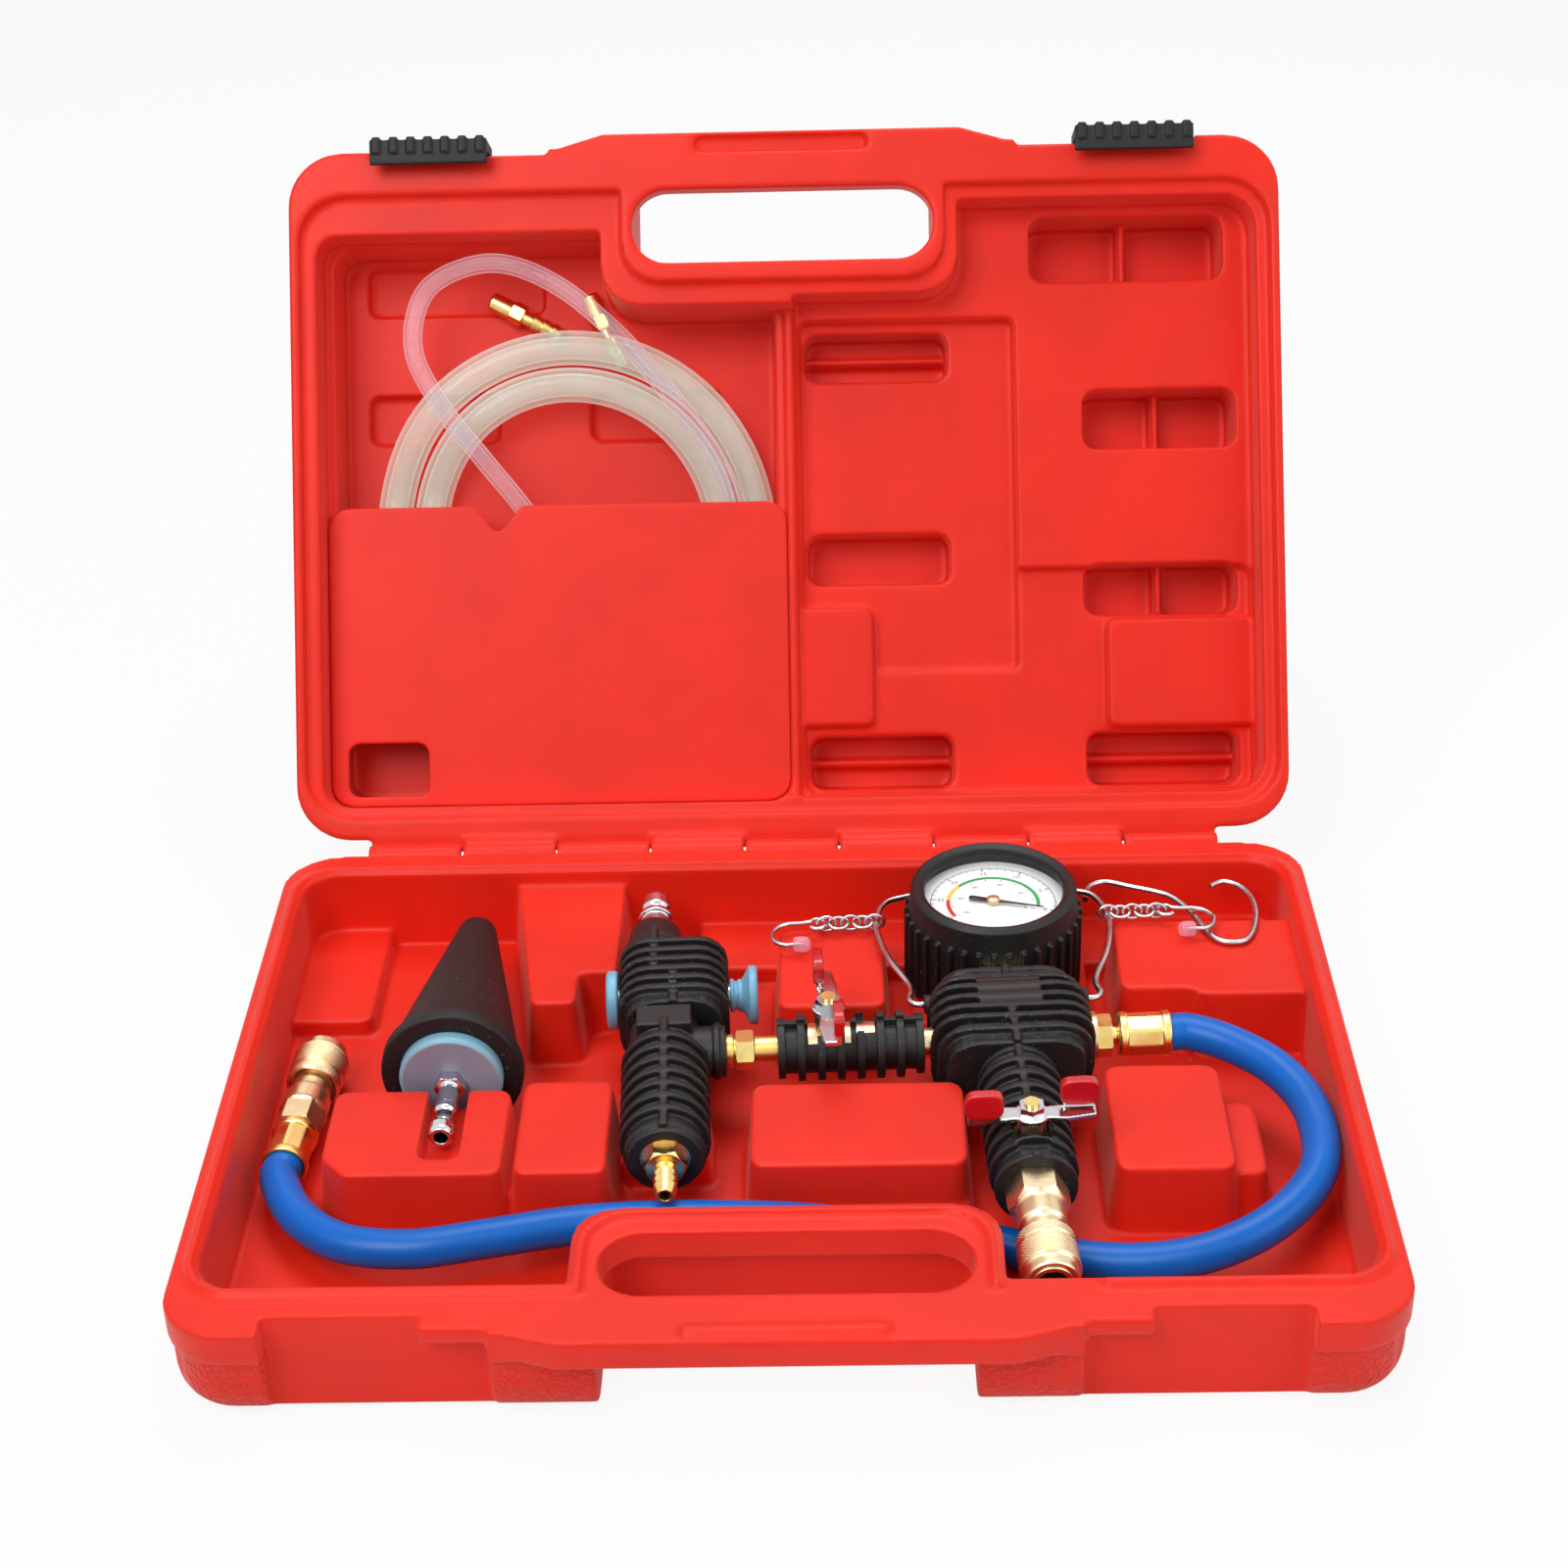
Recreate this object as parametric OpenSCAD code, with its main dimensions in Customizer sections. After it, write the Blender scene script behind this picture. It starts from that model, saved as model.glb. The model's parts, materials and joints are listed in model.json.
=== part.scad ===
// Coolant vacuum filler kit in an open blow-moulded case.
// X runs left to right, Y from the front edge to the hinge, Z up from the underside.

/* [Case] */
// Width of the case
case_w = 365; // [350:1:400]
// Depth of the case, front wall to hinge wall
case_d = 254; // [246:1:280]
// Height of the base half
base_h = 36; // [34:0.5:42]
// Height of the lid half
lid_h = 50; // [49:0.5:60]
// Radius of the upright corners
corner_r = 20; // [17:0.5:24]
// Radius of the long outer edges
edge_r = 14; // [8:0.5:16]
// Width of the rim at the left and right
rim_side = 8.5; // [6:0.5:10]
// Width of the rim at the hinge
rim_back = 13; // [10:0.5:14]
// Width of the rim at the front
rim_front = 21; // [18:0.5:24]
// Thickness of the base under the tray
floor_t = 5.5; // [4:0.5:7]
// Depth of the tray's plateaus under the rim
plateau_drop = 6; // [4:0.5:8]
// Wall left at the bottom of the lid's wells
lid_wall = 3; // [2:0.5:4]
// Height of the sealing bead on the rim
bead_h = 1.8; // [1:0.1:2.5]
// Width of the sealing bead
bead_w = 2.5; // [1.5:0.1:3]
// Gap between the rims when closed
rim_gap = 0.3; // [0.2:0.1:0.6]
// Height of the smooth band under the base's rim
band_h = 11; // [8:0.5:14]
// How far the textured skirt is set back under the band
skirt_in = 1.2; // [0.6:0.1:2]
// Angle that the lid opens to
lid_open = 122; // [95:1:130]

/* [Handle] */
// Length of the hand opening
grip_w = 111; // [95:1:120]
// Width of the hand opening
grip_d = 27; // [24:1:30]
// Height of the handle bar on each half
bar_h = 10; // [8:0.5:12]
// How far the bar stands out of the front wall
bar_out = 5; // [3:0.5:8]
// Wall round the hand opening
boss_wall = 9; // [7:0.5:11]

/* [Hinge and latches] */
// Outer radius of a hinge knuckle
knuckle_r = 4; // [3.5:0.1:4.2]
// Radius of the hinge pin
pin_r = 1.6; // [1.2:0.1:2]
// Number of knuckles
knuckles = 9; // [5:2:13]
// Length of the hinge
hinge_w = 310; // [260:2:320]
// Length of a sliding latch
latch_w = 43; // [36:1:46]
// Height of the flange that a latch runs on
flange_t = 6; // [5:0.5:7]
// Wall of a latch
latch_t = 2.4; // [1.8:0.1:3]
// Travel of a latch
latch_travel = 21; // [16:1:22]

/* [Filler] */
// Place of the manifold across the case
kit_x = 73; // [70:0.5:76]
// Place of the manifold along the case
kit_y = 18; // [16:0.5:20]
// Turn of the filler as it lies in the tray
kit_yaw = 2.5; // [1.5:0.5:3.5]
// Depth of the filler's axis under the rim
kit_drop = 6; // [5:0.5:8]
// Width of the manifold cover
man_w = 54; // [50:0.5:58]
// Height of the manifold cover
man_h = 32; // [30:0.5:34]
// Length of the manifold cover
man_l = 42; // [40:0.5:44]
// Number of ribs on the manifold cover
man_ribs = 8; // [6:1:9]
// Outer radius of the brass pipes
pipe_r = 8; // [7:0.1:8.5]
// Radius of the bore through the pipes
bore_r = 3.5; // [2.5:0.1:4]
// Thickness of a cooling rib on the covers
rib_t = 2.4; // [1.6:0.1:3]
// Height of the cooling ribs on the covers
rib_h = 2.6; // [1.5:0.1:3]

/* [Valves] */
// Length of the cover of the small valve
valve1_l = 48; // [44:0.5:52]
// Outer radius of the cover of the small valve
valve1_r = 11; // [10.8:0.1:12]
// Length of the cover of the outlet valve
valve2_l = 57; // [54:0.5:60]
// Outer radius of the cover of the outlet valve
valve2_r = 14; // [13:0.1:14.5]
// Radius of a valve ball
ball_r = 6; // [5.2:0.1:6.5]
// Radius of a valve stem
stem_r = 2.4; // [2:0.1:2.8]
// Height of a valve handle over the pipe's axis
handle_z = 15; // [14.6:0.1:16]
// Span of a valve handle
handle_w = 40; // [34:1:42]
// Width of a handle's arm
arm_w = 7; // [6:0.5:8]
// Thickness of a handle's plate
plate_t = 1.6; // [1.2:0.1:2]
// Height of a handle's finger tab
tab_h = 10; // [7:0.5:11]

/* [Venturi] */
// Distance from the manifold to the venturi's axis
vent_x = 114; // [112:0.5:116]
// Width of the upper cover
vent_w = 37; // [34:0.5:39]
// Height of the upper cover
vent_h = 31; // [28:0.5:32]
// Outer radius of the lower cover
vent_r = 14.5; // [13.5:0.1:14.8]
// Length of the lower cover
vent_low_l = 66; // [62:0.5:68]
// Length of the upper cover
vent_up_l = 35; // [33:0.5:37]
// Radius of the push caps
cap_r = 10; // [8:0.5:11]
// Travel of the push-pull air valve
spool_travel = 5; // [3:0.5:5.5]

/* [Gauge] */
// Radius of the gauge's case
gauge_r = 27.5; // [26.5:0.1:28]
// Distance from the manifold to the gauge's centre
gauge_y = 61; // [60:0.5:62]
// Height of the gauge's top over the filler's axis
gauge_top = 21; // [19:0.5:22]
// Radius of the glass
glass_r = 23.5; // [22:0.1:24.5]
// Height of the boot's fins
fin_h = 2.2; // [1.5:0.1:2.4]
// Number of fins round the boot
fins = 36; // [24:2:44]
// Width of the square on the gauge's stem
square_w = 14.5; // [12:0.5:15]

/* [Couplers and hoses] */
// Outer radius of a coupler's sleeve
sleeve_r = 9.4; // [8.8:0.1:9.8]
// Length of a coupler's sleeve
sleeve_l = 18; // [16:0.5:19]
// Travel of a coupler's sleeve
sleeve_travel = 4; // [2.5:0.5:5]
// Outer radius of the blue hose
hose_r = 6.2; // [5.5:0.1:6.4]
// Length of a crimped ferrule
ferrule_l = 17.5; // [15:0.5:20]
// Wall of a crimped ferrule
ferrule_t = 0.9; // [0.6:0.1:1.2]
// Outer radius of the thick clear hose
clear_r = 6.5; // [5.5:0.1:6.5]
// Outer radius of the thin clear hose
thin_r = 3.6; // [3:0.1:3.6]
// Inner radius of the clear hose's coil
coil_r = 46; // [44:0.5:47]
// Spacing of the coil's turns
coil_pitch = 14; // [13.6:0.1:14.4]
// Turns of the coil
coil_turns = 2.05; // [1.6:0.05:2.1]

/* [Cone] */
// Radius of the cone's foot
cone_r = 23.5; // [22:0.5:24]
// Radius of the cone's tip
cone_tip_r = 6.5; // [5:0.5:8]
// Length of the cone
cone_l = 84; // [78:1:88]
// Radius of the plate in the cone's foot
plate_r = 17; // [15:0.5:18]
// Place of the cone across the case
cone_x = -110.5; // [-112:0.5:-110]

/* [Fits] */
// Clearance of a fixed or running fit
fit = 0.05; // [0.03:0.01:0.08]
// Gap under a piece that lies in the tray
seat = 0.3; // [0.2:0.05:0.4]
// Gap beside a sliding or turning piece
slide = 0.35; // [0.3:0.05:0.5]
// Radius of the hanging wire
wire_r = 1.1; // [0.9:0.1:1.2]

/* [Hidden] */
$fn = 48;
kit_z = base_h - kit_drop;
plateau = base_h - plateau_drop;
front = -case_d/2;
front_x = -case_w/2;
back = case_d/2;
tray_x = case_w/2 - rim_side;
tray_y0 = front + rim_front;
tray_y1 = back - rim_back;
axis_y = back + 6;
axis_z = base_h - 4.3;
lid_z0 = base_h + rim_gap;
lid_z1 = lid_z0 + lid_h;
grip_y = front + 16 + grip_d/2;
boss_y1 = grip_y + grip_d/2 + boss_wall + 3;
boss_x = grip_w/2 + boss_wall;
bead_in = 2;
lid_in = bead_in + bead_w + 0.5;
draft = 0.09;
well_deep = lid_h - lid_wall;
hose_deep = lid_h - 8;
panel_face = 18.5;
panel_t = 2;
panel_top = 124.5;
notch_u = -109;
notch_deep = 11;
back_shelf = kit_z - 17.6;
cone_z = floor_t + seat + cone_r;
cone_y = 4;
recess_x1 = case_w/2 - 30.5;
latch_x1 = recess_x1 - 1.5;
recess_x0 = latch_x1 - latch_w - latch_travel - 0.5;
recess_y = front + 8;
strip_t = 2;
lug_w = 20;

// Vectors and outlines
function unit(v) = v/norm(v);
function side_normal(a, b) = let (d = unit(b - a)) [d[1], -d[0]];

// Moves every side of a counter-clockwise outline outwards by d
function grown(p, d) = let (n = len(p)) [for (i = [0:n-1])
    let (m = side_normal(p[(i+n-1)%n], p[i]), k = side_normal(p[i], p[(i+1)%n]))
    p[i] + (m + k)*d/(1 + m*k)];

// Rounds every corner of an outline with radius r in k steps
function rounded(p, r, k = 4) = let (n = len(p)) [for (i = [0:n-1])
    let (u = unit(p[(i+n-1)%n] - p[i]), v = unit(p[(i+1)%n] - p[i]),
        half = acos(max(-1, min(1, u*v)))/2, c = p[i] + unit(u + v)*r/sin(half),
        a = p[i] + u*r/tan(half) - c, b = p[i] + v*r/tan(half) - c,
        a0 = atan2(a[1], a[0]), turn = atan2(b[1], b[0]) - a0,
        sweep = turn > 180 ? turn - 360 : turn < -180 ? turn + 360 : turn)
    for (j = [0:k]) c + r*[cos(a0 + sweep*j/k), sin(a0 + sweep*j/k)]];

function box_pts(x0, y0, x1, y1) = [[x0, y0], [x1, y0], [x1, y1], [x0, y1]];

// Tubes
function curve_at(a, b, c, d, t) = 0.5*(2*b + (c - a)*t + (2*a - 5*b + 4*c - d)*t*t
    + (3*b - a - 3*c + d)*t*t*t);
function smooth(p, k) = let (n = len(p)) [for (i = [0:n-2]) for (j = [0:k-1])
    curve_at(p[max(i-1, 0)], p[i], p[i+1], p[min(i+2, n-1)], j/k), p[n-1]];
function heading(p, i) = unit(p[min(i+1, len(p)-1)] - p[max(i-1, 0)]);
function ring(c, t, r, s) = let (a = unit(cross(t, [0, 0, 1])), b = cross(a, t))
    [for (j = [0:s-1]) c + r*(cos(360*j/s)*a + sin(360*j/s)*b)];

// A tube of radius r and s sides along the points p
module tube(p, r, s = 8) {
    n = len(p);
    pts = [for (i = [0:n-1]) each ring(p[i], heading(p, i), r, s)];
    walls = [for (i = [0:n-2]) for (j = [0:s-1]) let (k = (j+1)%s)
        each [[i*s+j, (i+1)*s+k, i*s+k], [i*s+j, (i+1)*s+j, (i+1)*s+k]]];
    ends = [for (j = [1:s-2]) each [[0, j, j+1], [(n-1)*s, (n-1)*s+j+1, (n-1)*s+j]]];
    polyhedron(points = pts, faces = concat(walls, ends), convexity = 8);
}

// A moulded block with sloping sides, from z0 up to z1, on the outline that its top has
module block(p, z0, z1, r = 4, slope = draft) {
    top = rounded(p, r);
    low = rounded(grown(p, slope*(z1 - z0)), r + slope*(z1 - z0));
    n = len(top);
    pts = concat([for (q = low) [q[0], q[1], z0]], [for (q = top) [q[0], q[1], z1]]);
    walls = [for (i = [0:n-1]) let (k = (i+1)%n) each [[i, n+k, k], [i, n+i, n+k]]];
    polyhedron(points = pts, faces = concat(walls, [[for (i = [0:n-1]) i]],
        [[for (i = [0:n-1]) 2*n-1-i]]), convexity = 6);
}

module slab(p, z0, z1, r = 4, k = 4) {
    translate([0, 0, z0]) linear_extrude(z1 - z0) polygon(rounded(p, r, k));
}

module xcyl(r, x0, x1) { translate([x0, 0, 0]) rotate([0, 90, 0]) cylinder(r = r, h = x1 - x0); }
module ycyl(r, y0, y1) { translate([0, y0, 0]) rotate([-90, 0, 0]) cylinder(r = r, h = y1 - y0); }
module zcyl(r, z0, z1) { translate([0, 0, z0]) cylinder(r = r, h = z1 - z0); }
module xhex(af, x0, x1) {
    translate([x0, 0, 0]) rotate([0, 90, 0]) cylinder(r = af/sqrt(3), h = x1 - x0, $fn = 6);
}
module yhex(af, y0, y1) {
    translate([0, y0, 0]) rotate([-90, 0, 0]) cylinder(r = af/sqrt(3), h = y1 - y0, $fn = 6);
}
// A turned piece along Y: pairs of radius and place
module yturn(p) { rotate([-90, 0, 0]) rotate_extrude() polygon(p); }
module xturn(p) { rotate([0, 90, 0]) rotate_extrude() polygon(p); }
// A slice of a rounded bar that runs along Y, with the width across X and the height in Z
module ybar(w, h, r, y0, y1) {
    translate([0, y1, 0]) rotate([90, 0, 0]) linear_extrude(y1 - y0)
        polygon(rounded(box_pts(-w/2, -h/2, w/2, h/2), r));
}

// Case

// Half of the case as a closed form: flat at z = 0, rounded towards z = h, drawn in by d
module half_shell(h, d = 0) {
    x = case_w/2 - corner_r;
    y = case_d/2 - corner_r;
    r = corner_r - d;
    hull() for (i = [-1, 1]) for (j = [-1, 1]) translate([i*x, j*y, 0]) {
        cylinder(r = r, h = h - edge_r - 0.5, $fn = 32);
        translate([0, 0, h - edge_r]) rotate_extrude($fn = 32) intersection() {
            translate([r - edge_r, 0]) circle(r = edge_r, $fn = 24);
            square([r, edge_r]);
        }
    }
}

// Base half upside down: a band under the rim, and the textured skirt below it
module base_shell() {
    translate([0, 0, base_h]) mirror([0, 0, 1]) half_shell(base_h, skirt_in);
    slab(box_pts(front_x, front, -front_x, back), base_h - band_h, base_h, corner_r, 8);
}

module boss_plan(d) {
    polygon(rounded([[-boss_x - d, front - 20], [boss_x + d, front - 20], [boss_x + d, boss_y1 + d],
        [-boss_x - d, boss_y1 + d]], 14));
}

// Outline of the tray's opening in the rim, widened by d
module tray_plan(d) {
    difference() {
        polygon(rounded(box_pts(-tray_x - d, tray_y0 - d, tray_x + d, tray_y1 + d), 12 + d, 6));
        boss_plan(-d);
    }
}

module grip_cut(z0, z1) {
    translate([0, grip_y, z0]) linear_extrude(z1 - z0)
        polygon(rounded(box_pts(-grip_w/2, -grip_d/2, grip_w/2, grip_d/2), grip_d/2 - 0.5, 8));
}

// Room under the handle bar for the hand, and the recesses that the latches run in
module front_cuts(z_bar, z_end) {
    translate([-grip_w/2, front - 20, z_bar])
        cube([grip_w, grip_y + grip_d/2 + 5 - front + 20, z_end - z_bar]);
    for (s = [0, 1]) mirror([s, 0, 0])
        slab(box_pts(recess_x0, front - 20, recess_x1, recess_y), -1, lid_z1 + 1, 1);
}

module bar(z0) {
    w = grip_w/2 + 10;
    slab([[-w - 18, front + 6], [-w - 18, front + 0.2], [-w, front - bar_out], [w, front - bar_out],
        [w + 18, front + 0.2], [w + 18, front + 6], [grip_w/2 + 5, grip_y - grip_d/2],
        [-grip_w/2 - 5, grip_y - grip_d/2]], z0, z0 + bar_h, 2.5);
}

module knuckle_row(first, arm_y, arm_z0, arm_z1) {
    step = hinge_w/knuckles;
    for (i = [first:2:knuckles-1]) translate([-hinge_w/2 + i*step + slide/2, 0, 0]) {
        translate([0, axis_y, axis_z]) rotate([0, 90, 0]) cylinder(r = knuckle_r, h = step - slide);
        translate([0, arm_y, arm_z0]) cube([step - slide, axis_y - arm_y, arm_z1 - arm_z0]);
    }
}

module hinge_bore() {
    translate([0, axis_y, axis_z]) xcyl(pin_r + fit, -hinge_w/2 - 1, hinge_w/2 + 1);
}

// Space that one row of knuckles leaves for the other
module knuckle_room(first) {
    step = hinge_w/knuckles;
    for (i = [first:2:knuckles-1]) translate([-hinge_w/2 + i*step - slide/2, axis_y, axis_z])
        rotate([0, 90, 0]) cylinder(r = knuckle_r + slide, h = step + slide);
}

// Place of the venturi, the small valve and the like in the case
module in_kit() { translate([kit_x, kit_y, kit_z]) rotate([0, 0, kit_yaw]) children(); }

module case_base() {
    color([0.9, 0.2, 0.14]) difference() {
        union() {
            difference() {
                base_shell();
                front_cuts(-1, base_h - bar_h);
                translate([0, 0, floor_t]) linear_extrude(base_h) tray_plan(0);
            }
            bar(base_h - bar_h);
            for (s = [0, 1]) mirror([s, 0, 0]) slab(box_pts(recess_x0 - 4, front + 2,
                recess_x0 + lug_w, recess_y + 4), base_h - flange_t, base_h, 1);
            translate([0, 0, base_h - 1]) linear_extrude(bead_h + 1) difference() {
                tray_plan(bead_in + bead_w);
                tray_plan(bead_in);
                translate([boss_x - 2, tray_y0 - 20]) square([30, 40]);
            }
            slab(box_pts(-30, front - bar_out + 2.5, 30, front - bar_out + 6.5), base_h - 1,
                base_h + bead_h, 1.9);
            knuckle_row(0, back - 2, axis_z - knuckle_r, axis_z + 1);
        }
        grip_cut(-1, base_h + 5);
        hinge_bore();
        knuckle_room(1);
        seat_cuts();
    }
}

// Seats for the cone's nipple and the coupler's end
module seat_cuts() {
    slab(box_pts(cone_x - 6.5, -40, cone_x + 6.5, 6), cone_z - 7, base_h, 4);
    in_kit() translate([-sleeve_r - 3, out_y - coupler_end - 1, -6]) cube([2*sleeve_r + 6, 40, 24]);
}

// Raised parts of the tray, which rise from the base's floor and share its body
module tray_room() {
    translate([0, 0, floor_t + fit]) linear_extrude(base_h) tray_plan(-fit);
}
module tray_shelves() {
    color([0.9, 0.2, 0.14]) difference() {
        intersection() {
            shelf_blocks();
            tray_room();
        }
        plateau_blocks();
        seat_cuts();
    }
}
module tray_plateaus() {
    color([0.9, 0.2, 0.14]) difference() {
        intersection() {
            plateau_blocks();
            tray_room();
        }
        seat_cuts();
    }
}

// Shelves and pads of the tray
block_z0 = floor_t - 1;
wall_x = tray_x + 3;
wall_y = tray_y1 + 3;
module shelf_blocks() {
    // Shelves along the back and under the filler
    block(box_pts(-wall_x, 58, cone_x - cone_r - 12, wall_y), block_z0, 12, 4);
    block(box_pts(-33, 86, wall_x, wall_y), block_z0, back_shelf, 5);
    block(box_pts(kit_x - 30, 50, kit_x + 30, wall_y - 8), block_z0, kit_z - 17 - seat, 6);
    block(box_pts(kit_x - 23, 4, kit_x + 23, 36), block_z0, kit_z - man_h/2 - seat, 5);
    block(box_pts(-53, -26, -26, 0), block_z0, kit_z - vent_r - seat, 4);
    block(box_pts(-54, 28, -30, 52), block_z0, kit_z - vent_h/2 - seat, 4);
    // Shallow pads on the floor at the front left
    for (i = [0:2]) block(box_pts(-150 + 21*i, -102, -134 + 21*i, -78), block_z0, floor_t + 2, 3);
}

// Plateaus between the pockets
module plateau_blocks() {
    block([[-88, 42], [-73, 42], [-73, 60], [-60, 60], [-60, wall_y], [-99, wall_y]], block_z0, plateau, 3);
    block(box_pts(-4, 38, 32, 84), block_z0, plateau, 4);
    block([[112, 46], [138, 46], [138, 42], [wall_x, 42], [wall_x, 86], [112, 86]], block_z0, plateau, 4);
    block(box_pts(102, -50, 139, 3), block_z0, plateau, 5);
    block(box_pts(130, -44, 150, -8), block_z0, plateau - 7, 4);
    block(box_pts(-12, -46, 56, -4), block_z0, plateau, 5);
    block(box_pts(-13, -50, 57, -20), block_z0, plateau - 16, 4);
    block(box_pts(-86, -48, -57, -1), block_z0, plateau, 4);
    block([[-139, -48], [-90, -48], [-90, -5], [-147, -5], [-147, -39]], block_z0, plateau, 4);
}

// Lid as it lies when closed
module lid_closed() {
    difference() {
        union() {
            difference() {
                translate([0, 0, lid_z0]) half_shell(lid_h);
                front_cuts(lid_z0 + bar_h, lid_z1 + 1);
                lid_cavities();
            }
            bar(lid_z0);
            for (s = [0, 1]) mirror([s, 0, 0]) slab(box_pts(recess_x0 - 4, front + 2,
                recess_x1 + 2, recess_y + 4), lid_z0, lid_z0 + flange_t, 1);
            lid_platforms();
            knuckle_row(1, back + slide, axis_z - 0.5, lid_z0 + 4);
            knuckle_row(1, back - 2, lid_z0, lid_z0 + 4);
            // Strip over the knuckles, which closes the gap behind them when the lid is open
            translate([-hinge_w/2, back - 2, lid_z0 + 0.3]) cube([hinge_w, axis_y - back + 5, strip_t]);
        }
        grip_cut(lid_z0 - 1, lid_z1 + 1);
        slab(box_pts(-32, front - bar_out + 1.5, 32, front - bar_out + 7.5), lid_z0 - 1,
            lid_z0 + bead_h + 1, 2.9);
        hinge_bore();
        knuckle_room(0);
        for (w = wells) slab(w[0], lid_z0 + 8, lid_z0 + well_deep, 5);
    }
    well_ribs();
}

function lid_box(u0, v0, u1, v1) = box_pts(u0, back - v1, u1, back - v0);

// Square wells in the lid: outline and whether a rib crosses it
wells = [[lid_box(92, 205, 164, 229), 1], [lid_box(111, 142, 168, 164), 1],
    [lid_box(111, 80, 168, 99), 1], [lid_box(111, 16, 168, 36), 2], [lid_box(7, 170, 61, 188), 2],
    [lid_box(7, 93, 61, 112), 0], [lid_box(7, 16, 61, 36), 2]];

module well_ribs() {
    for (w = wells) {
        p = w[0];
        mid = (p[0] + p[2])/2;
        if (w[1] == 1) translate([mid[0] - 1.2, p[0][1] - 1, lid_z0 + 36])
            cube([2.4, p[2][1] - p[0][1] + 2, well_deep - 35]);
        if (w[1] == 2) translate([p[0][0] - 1, mid[1] - 1.2, lid_z0 + 40])
            cube([p[2][0] - p[0][0] + 2, 2.4, well_deep - 39]);
    }
}

module lid_cavities() {
    z = lid_z0;
    // Step inside the rim, which goes over the base's bead
    translate([0, 0, z - 1]) linear_extrude(5) tray_plan(lid_in);
    difference() {
        translate([0, 0, z + 3]) linear_extrude(19) tray_plan(0);
        translate([-tray_x - 5, front, z]) cube([tray_x + 8, case_d, lid_h]);
    }
    slab(lid_box(5, 14, tray_x - 1, 98), z + 8, z + 27, 5);
    slab(lid_box(5, 60, 86, 192), z + 8, z + 29, 3);
    // Room for the hoses, with the seat of the pouch panel in front of its lower half
    difference() {
        union() {
            slab(lid_box(-tray_x + 1, 12, 0, 224), z + 3, z + panel_face + panel_t, 8);
            slab(lid_box(-tray_x + 5, 15, -4, 222), z + 8, z + hose_deep, 8);
        }
        translate([0, 0, z]) linear_extrude(lid_h) boss_plan(3);
    }
    // The wall between the hoses and the right half stays just over the pouch panel
    slab(lid_box(-9, 14, 9, 196), z + 3, z + panel_face - 1.5, 4);
    for (p = [lid_box(-160, 200, -92, 219), lid_box(-160, 151, -110, 170), lid_box(-75, 151, -25, 170)])
        slab(p, z + 30, z + well_deep, 4);
}

module lid_platforms() {
    slab(lid_box(3, 40, 31, 84), lid_z0 + 22, lid_z1 - edge_r, 3);
    slab(lid_box(119, 38, tray_x + 2, 78), lid_z0 + 22, lid_z1 - edge_r, 3);
}

// Turns what is modelled in the closed lid to where the open lid holds it
module opened() {
    translate([0, axis_y, axis_z]) rotate([-lid_open, 0, 0]) translate([0, -axis_y, -axis_z])
        children();
}

module case_lid() { color([0.9, 0.2, 0.14]) opened() lid_closed(); }

module pouch_panel() {
    color([0.9, 0.22, 0.16]) opened() difference() {
        slab(lid_box(-tray_x + 1 + slide, 12 + slide, -slide, panel_top), lid_z0 + panel_face - seat,
            lid_z0 + panel_face + panel_t - seat, 8);
        slab(lid_box(-tray_x + 8, 16, -tray_x + 38, 36), lid_z0 + panel_face - 2,
            lid_z0 + panel_face + panel_t + 2, 4);
        slab([[notch_u - 12, back - panel_top - 5], [notch_u + 14, back - panel_top - 5],
            [notch_u, back - panel_top + notch_deep]],
            lid_z0 + panel_face - 2, lid_z0 + panel_face + panel_t + 2, 2.5);
    }
}

module hinge_pin() {
    color([0.75, 0.75, 0.77]) translate([0, axis_y, axis_z]) xcyl(pin_r, -hinge_w/2, hinge_w/2);
}

// C-shaped clip that slides along the lid's flange and hooks under the base's lug
module latch() {
    z0 = base_h - flange_t - slide;
    z1 = lid_z0 + flange_t + slide;
    y_in = front + 2 - slide;
    x0 = latch_x1 - latch_w;
    rib_step = (latch_w - 5)/6;
    difference() {
        union() {
            translate([x0, y_in - latch_t - 1.5, z0 - latch_t])
                cube([latch_w, 6.5 + latch_t, z1 - z0 + 2*latch_t]);
            for (i = [0:6]) translate([x0 + 1 + i*rib_step, y_in - latch_t - 2.5, z0 - latch_t - 0.8])
                cube([3, 6, z1 - z0 + 2*latch_t + 1.6]);
        }
        translate([x0 - 1, y_in, z0]) cube([latch_w + 2, 20, z1 - z0]);
    }
}

module latch_left() { color([0.27, 0.28, 0.29]) opened() mirror([1, 0, 0]) latch(); }
module latch_right() { color([0.27, 0.28, 0.29]) opened() latch(); }

// Filler

man_y0 = -man_l/2 + 1;
man_y1 = man_l/2 + 1;
ear_y = man_y1 - 6;
ear_z = 4;

// Narrowing of the outermost ribs, so that the cover is barrel-shaped
function man_taper(i) = i == 0 ? 10 : i == man_ribs - 1 ? 8 : i == 1 || i == man_ribs - 2 ? 3 : 0;

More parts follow.
